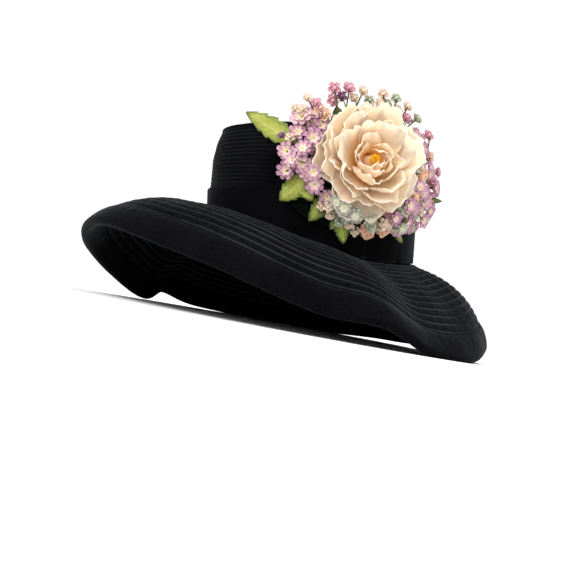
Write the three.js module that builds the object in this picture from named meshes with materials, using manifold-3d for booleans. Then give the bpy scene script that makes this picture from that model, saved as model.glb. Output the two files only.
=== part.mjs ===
// A wide-brim cloth hat with a flower corsage on the wearer's left front.
// Millimetres, +Z up. The hat is drawn upright about the head's axis, with the front toward -Y and the wearer's
// left toward +X, and is then leaned by the few degrees that it takes when its brim rests on a table.
// A bearing is an angle round the crown in degrees: 0 is the front and 90 the wearer's left.
import * as THREE from 'three';
import { mergeVertices } from 'three/addons/utils/BufferGeometryUtils.js';
import Module from 'manifold-3d';

const wasm = await Module();
wasm.setup();
const radians = THREE.MathUtils.degToRad;

// Driving dimensions
const HEAD_HALF_WIDTH = 84;
const HEAD_HALF_LENGTH = 99;
const GAP = 0.3;
const SEGMENTS_AROUND = 60;

const WALL = 2.2;
const SIDE_SHARE = 0.975;
const TIP_SHARE = 0.885;
const TIP_SEAM = 89;
const BAND_TOP = 42;
const BAND_FOOT = 1.3;
const BRIM_WALL = 3;
const BRIM_CURL = 1.3;
const BRIM_FIRST_ARC = 1;
const BRIM_STATIONS = 6;
const ARC_STEPS = 24;
const BINDING_WIDTH = 20;
const BINDING_HALF_START = 2.2;
const BINDING_HALF_MIDDLE = 3.87;
const BINDING_HALF_FULL = 4.3;
const BINDING_CAP_STEPS = 3;

// At rest the crown leans toward a bearing, and the padded edge is pressed flat where it meets the table
const LEAN_DEG = 6.9;
const LEAN_TOWARD = -56;
const EDGE_PRESS = 2;

// Outer face of the crown side: height above the seam plane, and share of the head oval
const CROWN_SIDE_PROFILE = [
  { height: -16, share: SIDE_SHARE },
  { height: BAND_TOP, share: SIDE_SHARE },
  { height: 66, share: 0.96 },
  { height: 80, share: 0.925 },
  { height: TIP_SEAM, share: TIP_SHARE },
];

// Outer face of the crown tip, from its seam to the middle
const CROWN_TIP_PROFILE = [
  { height: 91.5, share: TIP_SHARE },
  { height: 93.5, share: 0.8 },
  { height: 96, share: 0.5 },
  { height: 97.5, share: 0 },
];

// Brim sections: seam height, droop in degrees at the seam and at the edge, and width along the cloth
const BRIM_SECTIONS = [
  { bearing: -180, seam: -2, root: 36, edge: 58, width: 106 },
  { bearing: -150, seam: 0, root: 34, edge: 53, width: 107 },
  { bearing: -120, seam: 4, root: 24, edge: 52, width: 107 },
  { bearing: -100, seam: 6, root: 12, edge: 62, width: 106 },
  { bearing: -90, seam: 6, root: 8, edge: 74, width: 106 },
  { bearing: -75, seam: 6, root: -8, edge: 62, width: 106 },
  { bearing: -60, seam: 6, root: -22, edge: 54, width: 107 },
  { bearing: -30, seam: 5, root: -40, edge: 54, width: 107 },
  { bearing: 0, seam: 3, root: -37, edge: 80, width: 108 },
  { bearing: 30, seam: -1, root: -6, edge: 80, width: 108 },
  { bearing: 45, seam: -6, root: 4, edge: 66, width: 108 },
  { bearing: 60, seam: -11, root: 20, edge: 64, width: 108 },
  { bearing: 75, seam: -12, root: 21, edge: 70, width: 108 },
  { bearing: 90, seam: -12, root: 12, edge: 88, width: 104 },
  { bearing: 105, seam: -11, root: 14, edge: 88, width: 94 },
  { bearing: 120, seam: -9, root: 34, edge: 80, width: 86 },
  { bearing: 135, seam: -7, root: 45, edge: 74, width: 84 },
  { bearing: 150, seam: -5, root: 46, edge: 74, width: 88 },
  { bearing: 165, seam: -3, root: 42, edge: 64, width: 98 },
];

// Radial folds of the brim: lift at the edge, half spread in degrees, and share of the width where each starts
const BRIM_FOLDS = [
  { bearing: -99, lift: 6, spread: 8, start: 0.35 },
];

// Pad behind the flowers, a rounded patch of the crown
const PAD = { bearing: 57, height: 49, halfSpan: 39, halfHeight: 36, taper: 0.9, wall: 2, clear: 0.6 };
const PAD_STEPS = { across: 13, up: 6 };
const PAD_BRIDGE = { start: 12, end: 24 };

// Large flower: where it sits, where it faces, its heart, and its rings of petals
const PEONY = { bearing: 54, height: 61, facingBearing: 47, facingRise: 8, coreRadius: 6.5, coreHeight: 19 };
const STAMEN_PROFILE = [
  { radius: 0, rise: 0 },
  { radius: 3.6, rise: 0 },
  { radius: 5.2, rise: 5.2 },
  { radius: 3, rise: 3.7 },
  { radius: 0, rise: 4.7 },
];
const PETAL_WALL = 1;
const PETAL_GAP_DEG = 5;
const PETAL_NARROWING = 0.3;
const PETAL_ROUNDING = 0.1;
const PETAL_RINGS = [
  { name: 'guard', count: 5, turn: 10, base: 4, belly: { out: 29, up: 3 }, rim: { out: 42, up: 15 } },
  { name: 'middle', count: 5, turn: 46, base: 8, belly: { out: 27, up: 9 }, rim: { out: 35, up: 27 } },
  { name: 'inner', count: 4, turn: 24, base: 12, belly: { out: 23, up: 15 }, rim: { out: 25, up: 33 } },
  { name: 'heart', count: 3, turn: 60, base: 15, belly: { out: 15, up: 18 }, rim: { out: 15, up: 31 } },
];

// Small blossoms by colour: bearing, height and stand-off of the head, its radius, and its foot on the pad
const BLOSSOMS = {
  lilac: [
    { bearing: 28, height: 78, standOff: 17, radius: 6.5, foot: { bearing: 31, height: 74 } },
    { bearing: 24, height: 58, standOff: 15, radius: 6.5, foot: { bearing: 27, height: 57 } },
    { bearing: 31, height: 61, standOff: 11, radius: 5.5, foot: { bearing: 33, height: 63 } },
    { bearing: 22, height: 93, standOff: 17, radius: 7, foot: { bearing: 27, height: 77 } },
    { bearing: 30, height: 43, standOff: 15, radius: 6.5, foot: { bearing: 34, height: 45 } },
    { bearing: 17, height: 67, standOff: 14, radius: 6, foot: { bearing: 23, height: 61 } },
    { bearing: 17, height: 52, standOff: 12, radius: 6, foot: { bearing: 23, height: 54 } },
    { bearing: 36, height: 35, standOff: 11, radius: 5, foot: { bearing: 38, height: 38 } },
    { bearing: 90, height: 82, standOff: 17, radius: 6.5, foot: { bearing: 86, height: 74 } },
    { bearing: 73, height: 16, standOff: 13, radius: 5.5, foot: { bearing: 73, height: 22 } },
    { bearing: 86, height: 47, standOff: 19, radius: 6, foot: { bearing: 84, height: 48 } },
    { bearing: 94, height: 52, standOff: 22, radius: 6, foot: { bearing: 90, height: 53 } },
    { bearing: 93, height: 34, standOff: 19, radius: 5.5, foot: { bearing: 88, height: 36 } },
  ],
  sage: [
    { bearing: 42, height: 26, standOff: 13, radius: 5.5, foot: { bearing: 46, height: 35 } },
    { bearing: 55, height: 27, standOff: 12, radius: 4.5, foot: { bearing: 55, height: 30 } },
  ],
};

// Along a blossom's head: how far past the stem's end and radius, both as shares of the head's radius, and the
// depth of the notches between its petals
const BLOSSOM_HEAD = [
  { past: -0.3, radius: 0.28, lobe: 0 },
  { past: 0, radius: 1, lobe: 0.35 },
  { past: 0.14, radius: 1, lobe: 0.35 },
  { past: 0, radius: 0.35, lobe: 0 },
  { past: 0.1, radius: 0, lobe: 0 },
];
const BLOSSOM_PETALS = 5;
const BLOSSOM_SWELL = 0.5;

// Along a bud, in the same shares
const BUD_HEAD = [
  { past: -1.2, radius: 0.45, lobe: 0 },
  { past: -0.3, radius: 1, lobe: 0 },
  { past: 0.6, radius: 0.8, lobe: 0 },
  { past: 1.1, radius: 0, lobe: 0 },
];

// Sprays of buds, each fused on one branching stem: foot on the pad, how far the stem swells outward as a share
// of its length, then each bud's own place and radius
const SPRAYS = [
  { name: 'spray_left', slot: 'bud', foot: { bearing: 23, height: 68 }, swell: 0.4, buds: [
    { bearing: 18, height: 77, standOff: 19, radius: 2.6 },
    { bearing: 14, height: 79, standOff: 17, radius: 2.2 },
  ] },
  { name: 'spray_upper_left', slot: 'bud', foot: { bearing: 34, height: 80 }, swell: 0.15, buds: [
    { bearing: 30, height: 101, standOff: 19, radius: 3 },
    { bearing: 24, height: 108, standOff: 18, radius: 2.4 },
  ] },
  { name: 'spray_top_left', slot: 'bud', foot: { bearing: 42, height: 82 }, swell: 0.1, buds: [
    { bearing: 36, height: 117, standOff: 17, radius: 3.6 },
    { bearing: 43, height: 119, standOff: 17, radius: 3.6 },
    { bearing: 50, height: 118, standOff: 17, radius: 3 },
  ] },
  { name: 'spray_top_right', slot: 'bud', foot: { bearing: 68, height: 82 }, swell: 0.1, buds: [
    { bearing: 60, height: 118, standOff: 18, radius: 3 },
    { bearing: 68, height: 117, standOff: 18, radius: 3 },
    { bearing: 76, height: 113, standOff: 19, radius: 3 },
    { bearing: 84, height: 106, standOff: 20, radius: 3.2 },
  ] },
  { name: 'spray_right', slot: 'bud', foot: { bearing: 90, height: 63 }, swell: 0.3, buds: [
    { bearing: 97, height: 96, standOff: 21, radius: 3.2 },
    { bearing: 98, height: 78, standOff: 19, radius: 3.4 },
    { bearing: 101, height: 67, standOff: 23, radius: 3 },
  ] },
  { name: 'spray_low_left', slot: 'bud', foot: { bearing: 50, height: 26 }, swell: 0.4, buds: [
    { bearing: 51, height: 20, standOff: 11, radius: 3 },
    { bearing: 51, height: 11, standOff: 9, radius: 2.8 },
  ] },
  { name: 'spray_low_middle', slot: 'rosette', foot: { bearing: 61, height: 19 }, swell: 0.4, buds: [
    { bearing: 62, height: 32, standOff: 13, radius: 3 },
    { bearing: 61, height: 19, standOff: 12, radius: 4 },
    { bearing: 57, height: 10, standOff: 10, radius: 3.6 },
    { bearing: 67, height: 24, standOff: 12, radius: 3.2 },
  ] },
  { name: 'spray_low_right', slot: 'bud', foot: { bearing: 80, height: 28 }, swell: 0.4, buds: [
    { bearing: 80, height: 24, standOff: 13, radius: 3 },
    { bearing: 81, height: 36, standOff: 15, radius: 3 },
    { bearing: 87, height: 21, standOff: 14, radius: 2.8 },
  ] },
];

// Leaves: foot on the pad, tip off the crown, and the widest half width
const LEAVES = [
  { foot: { bearing: 23, height: 73 }, tip: { bearing: -9, height: 98, standOff: 9 }, halfWidth: 9 },
  { foot: { bearing: 23, height: 49 }, tip: { bearing: 30, height: 31, standOff: 9 }, halfWidth: 7 },
  { foot: { bearing: 40, height: 33 }, tip: { bearing: 33, height: 23, standOff: 9 }, halfWidth: 4 },
  { foot: { bearing: 44, height: 22 }, tip: { bearing: 45, height: 1, standOff: 10 }, halfWidth: 6.5 },
  { foot: { bearing: 92, height: 44 }, tip: { bearing: 99, height: 43, standOff: 26 }, halfWidth: 3.5 },
];
const LEAF_WALL = 0.9;
const LEAF_FOOT = 0.12;
const LEAF_CUP = 0.12;
const LEAF_BOW = 0.06;
const LEAF_FULLNESS = 0.8;
const STEM_RADIUS = 0.9;
const SEAT_GAP = 0.5;

// Materials by slot
const MATERIALS = {
  velvet: new THREE.MeshStandardMaterial({ color: 0x101014, roughness: 0.95 }),
  velvet_binding: new THREE.MeshStandardMaterial({ color: 0x0e0e12, roughness: 0.95 }),
  pad: new THREE.MeshStandardMaterial({ color: 0x1f3022, roughness: 0.9 }),
  petal: new THREE.MeshStandardMaterial({ color: 0xf3e4cf, roughness: 0.6 }),
  stamen: new THREE.MeshStandardMaterial({ color: 0xd9b44a, roughness: 0.7 }),
  lilac: new THREE.MeshStandardMaterial({ color: 0xb79cc6, roughness: 0.7 }),
  sage: new THREE.MeshStandardMaterial({ color: 0xb9c8bd, roughness: 0.7 }),
  bud: new THREE.MeshStandardMaterial({ color: 0xd9c9bd, roughness: 0.7 }),
  rosette: new THREE.MeshStandardMaterial({ color: 0xe6bfa0, roughness: 0.7 }),
  leaf: new THREE.MeshStandardMaterial({ color: 0x9aa653, roughness: 0.6 }),
};

// Value of a column between rows, straight from row to row
function along(rows, key, at, column) {
  const next = rows.findIndex((row) => row[key] >= at);
  if (next === 0) return rows[0][column];
  if (next < 0) return rows[rows.length - 1][column];
  const [a, b] = [rows[next - 1], rows[next]];
  return THREE.MathUtils.mapLinear(at, a[key], b[key], a[column], b[column]);
}

// Value of a column round the crown, smooth and closed: a cubic through the rows, sloped by their neighbours
function around(rows, bearing, column) {
  const turn = THREE.MathUtils.euclideanModulo(bearing - rows[0].bearing, 360) + rows[0].bearing;
  const count = rows.length;
  const row = (i) => rows[THREE.MathUtils.euclideanModulo(i, count)];
  const at = (i) => row(i).bearing + 360 * Math.floor(i / count);
  let i = 0;
  while (i + 1 < count && at(i + 1) <= turn) i += 1;
  const span = at(i + 1) - at(i);
  const slope = (j) => (row(j + 1)[column] - row(j - 1)[column]) / (at(j + 1) - at(j - 1)) * span;
  const u = (turn - at(i)) / span;
  const rise = row(i + 1)[column] - row(i)[column];
  const a = slope(i) - rise;
  const b = rise - slope(i + 1);
  return row(i)[column] + u * rise + u * (1 - u) * (a * (1 - u) + b * u);
}

// Outward direction of the head oval at a bearing
function outward(bearing) {
  const t = radians(bearing);
  return new THREE.Vector3(Math.sin(t) / HEAD_HALF_WIDTH, -Math.cos(t) / HEAD_HALF_LENGTH, 0).normalize();
}

// Point of the head oval scaled by a share, moved outward by an offset, at a height
function ovalPoint(bearing, share, offset, height) {
  const t = radians(bearing);
  const oval = new THREE.Vector3(HEAD_HALF_WIDTH * Math.sin(t), -HEAD_HALF_LENGTH * Math.cos(t), 0);
  return oval.multiplyScalar(share).addScaledVector(outward(bearing), offset).setZ(height);
}

const BEARINGS = Array.from({ length: SEGMENTS_AROUND }, (_, i) => 360 * i / SEGMENTS_AROUND);
const seamHeight = (bearing) => around(BRIM_SECTIONS, bearing, 'seam');
const crownShare = (height) => along(CROWN_SIDE_PROFILE, 'height', height, 'share');

// Brim section: the droop turns from root to edge along the cloth; reach and fall add up its cosine and sine
function brimAt(bearing, arc) {
  const root = around(BRIM_SECTIONS, bearing, 'root');
  const edge = around(BRIM_SECTIONS, bearing, 'edge');
  const width = around(BRIM_SECTIONS, bearing, 'width');
  const droopAt = (length) => radians(root + (edge - root) * Math.max(0, length / width) ** BRIM_CURL);
  let reach = 0;
  let fall = 0;
  for (let i = 0; i < ARC_STEPS; i += 1) {
    const droop = droopAt((i + 0.5) / ARC_STEPS * arc);
    reach += Math.cos(droop) * arc / ARC_STEPS;
    fall += Math.sin(droop) * arc / ARC_STEPS;
  }
  const height = seamHeight(bearing) - fall + foldLift(bearing, arc / width);
  return { reach, height, droop: droopAt(arc) };
}

// Lift of the radial folds: a bell across the bearing, growing from each fold's start to the edge
function foldLift(bearing, share) {
  return BRIM_FOLDS.reduce((sum, fold) => {
    const across = (bearing - fold.bearing) / fold.spread;
    const grow = THREE.MathUtils.smoothstep(share, fold.start, 1);
    return sum + fold.lift * grow * Math.exp(-across * across);
  }, 0);
}

// Point of the brim at a bearing and arc length, moved off the middle of the cloth by an offset upward
function brimPoint(bearing, arc, offset) {
  const section = brimAt(bearing, arc);
  const reach = section.reach + Math.sin(section.droop) * offset;
  return ovalPoint(bearing, 1, reach, section.height + Math.cos(section.droop) * offset);
}

// A body from a grid of points whose rows close on themselves; wrapped grids also close from last row to first.
// Each cell is split across its shorter diagonal, so that both faces of a thin bent sheet are split alike
function bodyFromRings(rings, wrapped) {
  const size = rings[0].length;
  const points = rings.flat();
  const indices = [];
  const bands = wrapped ? rings.length : rings.length - 1;
  for (let i = 0; i < bands; i += 1) {
    const next = (i + 1) % rings.length;
    for (let j = 0; j < size; j += 1) {
      const k = (j + 1) % size;
      const [a, b, c, d] = [i * size + j, i * size + k, next * size + k, next * size + j];
      const split = points[a].distanceTo(points[c]) < points[b].distanceTo(points[d]);
      indices.push(...(split ? [a, b, c, a, c, d] : [a, b, d, b, c, d]));
    }
  }
  return cleanBody(points.flatMap((p) => p.toArray()), indices);
}

// Merges equal points, drops triangles without area and turns the faces outward
function cleanBody(positions, indices) {
  const raw = new THREE.BufferGeometry();
  raw.setAttribute('position', new THREE.Float32BufferAttribute(positions, 3));
  raw.setIndex(indices);
  const merged = mergeVertices(raw, 1e-3);
  const index = Array.from(merged.index.array);
  const position = merged.attributes.position;
  let kept = [];
  for (let i = 0; i < index.length; i += 3) {
    const [a, b, c] = index.slice(i, i + 3);
    if (a !== b && b !== c && c !== a) kept.push([a, b, c]);
  }
  const corner = (i) => new THREE.Vector3().fromBufferAttribute(position, i);
  const volume = kept.reduce((sum, [a, b, c]) => sum + corner(a).dot(corner(b).cross(corner(c))), 0);
  if (volume < 0) kept = kept.map(([a, b, c]) => [a, c, b]);
  merged.setIndex(kept.flat());
  merged.computeVertexNormals();
  return merged;
}

// A thin sheet given by point(u, v), with u from 0 to 1 and v from -1 to 1, thickened about its middle
function sheet(point, thickness, alongSteps, acrossSteps) {
  const delta = 0.01;
  const normalAt = (u, v) => {
    const du = point(Math.min(u + delta, 1), v).sub(point(Math.max(u - delta, 0), v));
    const dv = point(u, Math.min(v + delta, 1)).sub(point(u, Math.max(v - delta, -1)));
    return du.cross(dv).normalize();
  };
  const rings = [];
  for (let i = 0; i <= alongSteps; i += 1) {
    const u = i / alongSteps;
    const vs = Array.from({ length: acrossSteps + 1 }, (_, j) => -1 + 2 * j / acrossSteps);
    const side = (v, sign) => point(u, v).addScaledVector(normalAt(u, v), sign * thickness / 2);
    rings.push([...vs.map((v) => side(v, 1)), ...vs.toReversed().map((v) => side(v, -1))]);
  }
  const flatten = (ring) => ring.map((p, j) => p.clone().add(ring[ring.length - 1 - j]).multiplyScalar(0.5));
  return bodyFromRings([flatten(rings[0]), ...rings, flatten(rings[alongSteps])], false);
}

// A round body along a smooth centre line, given by rows of place along the line, radius and lobe depth
function stalk(curve, rows, sides, lobes) {
  const frames = rows.map((row) => {
    const at = Math.min(row.at, 1);
    const tangent = curve.getTangent(at);
    const centre = curve.getPoint(at).addScaledVector(tangent, row.past ?? 0);
    return { ...row, centre, tangent };
  });
  const start = Math.abs(frames[0].tangent.z) > 0.9 ? new THREE.Vector3(1, 0, 0) : new THREE.Vector3(0, 0, 1);
  const rings = frames.map(({ centre, tangent, radius, lobe = 0 }) => {
    const side = start.clone().addScaledVector(tangent, -start.dot(tangent)).normalize();
    const up = tangent.clone().cross(side);
    return Array.from({ length: sides }, (_, j) => {
      const angle = 2 * Math.PI * j / sides;
      const r = radius * (1 - lobe * (0.5 - 0.5 * Math.cos(lobes * angle)));
      return centre.clone().addScaledVector(side, r * Math.cos(angle)).addScaledVector(up, r * Math.sin(angle));
    });
  });
  return bodyFromRings(rings, false);
}

// Outermost cloth of the crown at a bearing and height, moved off it by an offset; the step over the band's top
// edge is bridged smoothly, as the pad does
function clothPoint(bearing, height, offset) {
  const blend = THREE.MathUtils.smoothstep(height, BAND_TOP + PAD_BRIDGE.start, BAND_TOP + PAD_BRIDGE.end);
  return ovalPoint(bearing, THREE.MathUtils.lerp(1, crownShare(height), blend), offset, height);
}

// Crown pieces
function crownTip() {
  const inner = CROWN_TIP_PROFILE.map(({ share, height }) => ({ share, height: height - WALL }));
  const rings = [...CROWN_TIP_PROFILE.toReversed(), ...inner].map(({ share, height }) => (
    BEARINGS.map((bearing) => ovalPoint(bearing, share, 0, height))));
  return bodyFromRings(rings, false);
}

function crownSide() {
  const rings = BEARINGS.map((bearing) => {
    const foot = seamHeight(bearing) + BRIM_WALL / 2 + GAP;
    const heights = [foot, ...CROWN_SIDE_PROFILE.slice(1).map((row) => row.height)];
    const outer = heights.map((height) => ovalPoint(bearing, crownShare(height), 0, height));
    const inner = heights.map((height) => ovalPoint(bearing, crownShare(height), -WALL, height));
    return [...outer, ...inner.toReversed()];
  });
  return bodyFromRings(rings, true);
}

function hatBand() {
  const rings = BEARINGS.map((bearing) => {
    const foot = seamHeight(bearing) + BRIM_WALL / 2 + BAND_FOOT;
    const outer = [foot, BAND_TOP].map((height) => ovalPoint(bearing, 1, 0, height));
    const inner = [BAND_TOP, foot].map((height) => ovalPoint(bearing, SIDE_SHARE, GAP, height));
    return [...outer, ...inner];
  });
  return bodyFromRings(rings, true);
}

// Brim pieces
function brim() {
  const lip = (SIDE_SHARE - 1) * HEAD_HALF_WIDTH - WALL;
  const rings = BEARINGS.map((bearing) => {
    const end = around(BRIM_SECTIONS, bearing, 'width') - BINDING_WIDTH - GAP;
    const arcs = Array.from({ length: BRIM_STATIONS }, (_, j) => (
      THREE.MathUtils.lerp(BRIM_FIRST_ARC, end, j / (BRIM_STATIONS - 1))));
    const lipPoint = (offset) => ovalPoint(bearing, 1, lip, seamHeight(bearing) + offset);
    const top = [lipPoint(BRIM_WALL / 2), ...arcs.map((arc) => brimPoint(bearing, arc, BRIM_WALL / 2))];
    const bottom = [lipPoint(-BRIM_WALL / 2), ...arcs.map((arc) => brimPoint(bearing, arc, -BRIM_WALL / 2))];
    return [...top, ...bottom.toReversed()];
  });
  return bodyFromRings(rings, true);
}

function brimBinding() {
  const rings = BEARINGS.map((bearing) => {
    const width = around(BRIM_SECTIONS, bearing, 'width');
    const start = width - BINDING_WIDTH;
    const centre = width - BINDING_HALF_FULL;
    const face = [
      { arc: start, half: BINDING_HALF_START },
      { arc: THREE.MathUtils.lerp(start, centre, 0.5), half: BINDING_HALF_MIDDLE },
    ];
    const cap = Array.from({ length: BINDING_CAP_STEPS + 1 }, (_, j) => {
      const angle = Math.PI * (0.5 - j / BINDING_CAP_STEPS);
      const half = BINDING_HALF_FULL;
      return brimPoint(bearing, centre + half * Math.cos(angle), half * Math.sin(angle));
    });
    const top = face.map(({ arc, half }) => brimPoint(bearing, arc, half));
    const bottom = face.map(({ arc, half }) => brimPoint(bearing, arc, -half));
    return [...top, ...cap, ...bottom.toReversed()];
  });
  return bodyFromRings(rings, true);
}

// Corsage
// Half height of the pad at a share of its half span
function padHalfHeight(x) {
  return PAD.halfHeight * Math.sqrt(1 - PAD.taper * x ** 4);
}

function corsagePad() {
  const point = (u, v) => {
    const x = 2 * u - 1;
    const half = padHalfHeight(x);
    return clothPoint(PAD.bearing + PAD.halfSpan * x, PAD.height + half * v, PAD.clear + PAD.wall / 2);
  };
  return sheet(point, PAD.wall, PAD_STEPS.across, PAD_STEPS.up);
}

// Place clear of the pad's outer face
function padSeat({ bearing, height }, clearance) {
  return clothPoint(bearing, height, PAD.clear + PAD.wall + clearance);
}

// Place of a head off the crown, and above its tip in line with the tip's edge
function headPoint({ bearing, height, standOff }) {
  return ovalPoint(bearing, crownShare(height), standOff, height);
}

// A stem leaves the pad partly outward and partly toward its head, and bends over to it
function stemCurve(foot, head, swell) {
  const normal = outward(foot.bearing);
  const toward = head.clone().sub(padSeat(foot, 0));
  const rise = normal.clone().multiplyScalar(swell * toward.length());
  const bend = toward.clone().multiplyScalar(0.5 - 0.5 * swell).add(rise);
  const start = padSeat(foot, SEAT_GAP + STEM_RADIUS * Math.sin(bend.angleTo(normal)));
  return new THREE.QuadraticBezierCurve3(start, start.clone().add(bend), head);
}

// Rows of a flower head on the end of its stem
function headRows(head, radius) {
  return head.map((row) => ({ at: 1, past: row.past * radius, radius: row.radius * radius, lobe: row.lobe }));
}

function blossom(item) {
  const curve = stemCurve(item.foot, headPoint(item), BLOSSOM_SWELL);
  const stem = [
    { at: 0, radius: 0 },
    { at: 0, radius: STEM_RADIUS },
    { at: 0.6, radius: STEM_RADIUS },
  ];
  return stalk(curve, [...stem, ...headRows(BLOSSOM_HEAD, item.radius)], 2 * BLOSSOM_PETALS, BLOSSOM_PETALS);
}

function bud(foot, item, swell) {
  const stem = [
    { at: 0, radius: 0 },
    { at: 0, radius: STEM_RADIUS },
    { at: 0.55, radius: 0.8 * STEM_RADIUS },
  ];
  return stalk(stemCurve(foot, headPoint(item), swell), [...stem, ...headRows(BUD_HEAD, item.radius)], 6, 0);
}

// Joins closed bodies into one
function fuse(bodies) {
  const solids = bodies.map((body) => new wasm.Manifold(new wasm.Mesh({
    numProp: 3,
    vertProperties: new Float32Array(bare(body).attributes.position.array),
    triVerts: new Uint32Array(bare(body).index.array),
  })));
  const mesh = solids.reduce((sum, solid) => sum.add(solid)).getMesh();
  return cleanBody(Array.from(mesh.vertProperties), Array.from(mesh.triVerts));
}

function bare(body) {
  const copy = body.clone();
  copy.deleteAttribute('normal');
  return mergeVertices(copy, 1e-4);
}

function spray({ foot, buds, swell }) {
  return fuse(buds.map((item) => bud(foot, item, swell)));
}

// A leaf runs from foot to tip, wide in the middle, cupped across and bowed along its length
function leaf({ foot, tip, halfWidth }) {
  const start = padSeat(foot, SEAT_GAP + LEAF_WALL / 2 + LEAF_CUP * LEAF_FOOT * halfWidth);
  const end = headPoint(tip);
  const out = outward((foot.bearing + tip.bearing) / 2);
  const across = end.clone().sub(start).cross(out).normalize();
  const point = (u, v) => {
    const width = halfWidth * Math.max(LEAF_FOOT, Math.sin(Math.PI * u) ** LEAF_FULLNESS);
    const bow = LEAF_BOW * start.distanceTo(end) * Math.sin(Math.PI * u);
    return start.clone().lerp(end, u).addScaledVector(across, v * width)
      .addScaledVector(out, bow - LEAF_CUP * width * v * v);
  };
  return sheet(point, LEAF_WALL, 6, 2);
}

// Turns the large flower's own frame, with its face along +Z, to its seat on the pad
function placePeony(geometry) {
  const { bearing, height, facingBearing, facingRise } = PEONY;
  const t = radians(facingBearing);
  const e = radians(facingRise);
  const facing = new THREE.Vector3(Math.sin(t) * Math.cos(e), -Math.cos(t) * Math.cos(e), Math.sin(e));
  const tilt = facing.angleTo(outward(bearing));
  const seat = padSeat(PEONY, GAP + PEONY.coreRadius * Math.sin(tilt));
  const turn = new THREE.Quaternion().setFromUnitVectors(new THREE.Vector3(0, 0, 1), facing);
  return geometry.applyQuaternion(turn).translate(seat.x, seat.y, seat.z);
}

function peonyCore() {
  const { coreRadius, coreHeight } = PEONY;
  const profile = [
    new THREE.Vector2(0, 0),
    new THREE.Vector2(coreRadius, 0),
    new THREE.Vector2(coreRadius, coreHeight - 1),
    new THREE.Vector2(coreRadius - 2, coreHeight),
    new THREE.Vector2(0, coreHeight),
  ];
  return latheBody(profile, 16);
}

function peonyStamens() {
  const foot = PEONY.coreHeight + GAP;
  return latheBody(STAMEN_PROFILE.map(({ radius, rise }) => new THREE.Vector2(radius, foot + rise)), 12);
}

// A lathe about +Z, closed on its axis
function latheBody(profile, segments) {
  const turned = new THREE.LatheGeometry(profile, segments).rotateX(Math.PI / 2);
  return cleanBody(Array.from(turned.attributes.position.array), Array.from(turned.index.array));
}

// A petal is a sector of a cup that swells from the core through its belly to its rim and narrows at the top
function petal(ring, number) {
  const middle = radians(ring.turn + 360 * number / ring.count);
  const half = radians(180 / ring.count - PETAL_GAP_DEG / 2);
  const line = new THREE.QuadraticBezierCurve(
    new THREE.Vector2(PEONY.coreRadius + GAP + PETAL_WALL / 2, ring.base),
    new THREE.Vector2(ring.belly.out, ring.belly.up),
    new THREE.Vector2(ring.rim.out, ring.rim.up),
  );
  const point = (u, v) => {
    const narrow = 1 - PETAL_NARROWING * u ** 6;
    const reach = u * (1 - PETAL_ROUNDING * v * v * u);
    const place = line.getPoint(reach);
    const angle = middle + half * narrow * v;
    return new THREE.Vector3(place.x * Math.cos(angle), place.x * Math.sin(angle), place.y);
  };
  return sheet(point, PETAL_WALL, 4, 3);
}

// The whole hat
const hat = new THREE.Group();

function add(name, slot, geometry) {
  const mesh = new THREE.Mesh(geometry, MATERIALS[slot]);
  mesh.name = name;
  hat.add(mesh);
}

add('crown_tip', 'velvet', crownTip());
add('crown_side', 'velvet', crownSide());
add('hat_band', 'velvet', hatBand());
add('brim', 'velvet', brim());
add('brim_binding', 'velvet_binding', brimBinding());
add('corsage_pad', 'pad', corsagePad());
add('peony_core', 'petal', placePeony(peonyCore()));
add('peony_stamens', 'stamen', placePeony(peonyStamens()));
PETAL_RINGS.forEach((ring) => {
  for (let i = 0; i < ring.count; i += 1) {
    add(`petal_${ring.name}_${i + 1}`, 'petal', placePeony(petal(ring, i)));
  }
});
Object.entries(BLOSSOMS).forEach(([slot, items]) => {
  items.forEach((item, i) => add(`${slot}_${i + 1}`, slot, blossom(item)));
});
SPRAYS.forEach((item) => add(item.name, item.slot, spray(item)));
LEAVES.forEach((item, i) => add(`leaf_${i + 1}`, 'leaf', leaf(item)));

// Turns every piece to the resting attitude about a level axis at right angles to the lean
function leanAll() {
  const axis = new THREE.Vector3(Math.cos(radians(LEAN_TOWARD)), Math.sin(radians(LEAN_TOWARD)), 0);
  const lean = new THREE.Matrix4().makeRotationAxis(axis, radians(LEAN_DEG));
  hat.children.forEach((mesh) => mesh.geometry.applyMatrix4(lean));
}

// Sets the middle of the footprint over the origin and the edge on the table, pressed flat where it meets it
function setOnTable() {
  const box = new THREE.Box3().setFromObject(hat, true);
  const middle = box.getCenter(new THREE.Vector3());
  hat.children.forEach(({ geometry }) => {
    geometry.translate(-middle.x, -middle.y, -box.min.z - EDGE_PRESS);
    const { position } = geometry.attributes;
    for (let i = 0; i < position.count; i += 1) position.setZ(i, Math.max(0, position.getZ(i)));
    geometry.computeVertexNormals();
  });
}

leanAll();
setOnTable();

export default hat;
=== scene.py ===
"""A black velvet wide-brim hat with a corsage of silk flowers, dressed over its solids.

Lengths are millimetres until a mesh is made. Shapes are drawn in the upright hat's frame, the front toward
-Y and the wearer's left toward +X, and are then leaned to the attitude in which the hat rests on its brim.
A bearing is an angle round the crown in degrees: 0 is the front and 90 the wearer's left.
"""
import math

import bmesh
import bpy
import numpy as np
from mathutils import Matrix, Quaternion, Vector


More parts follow.
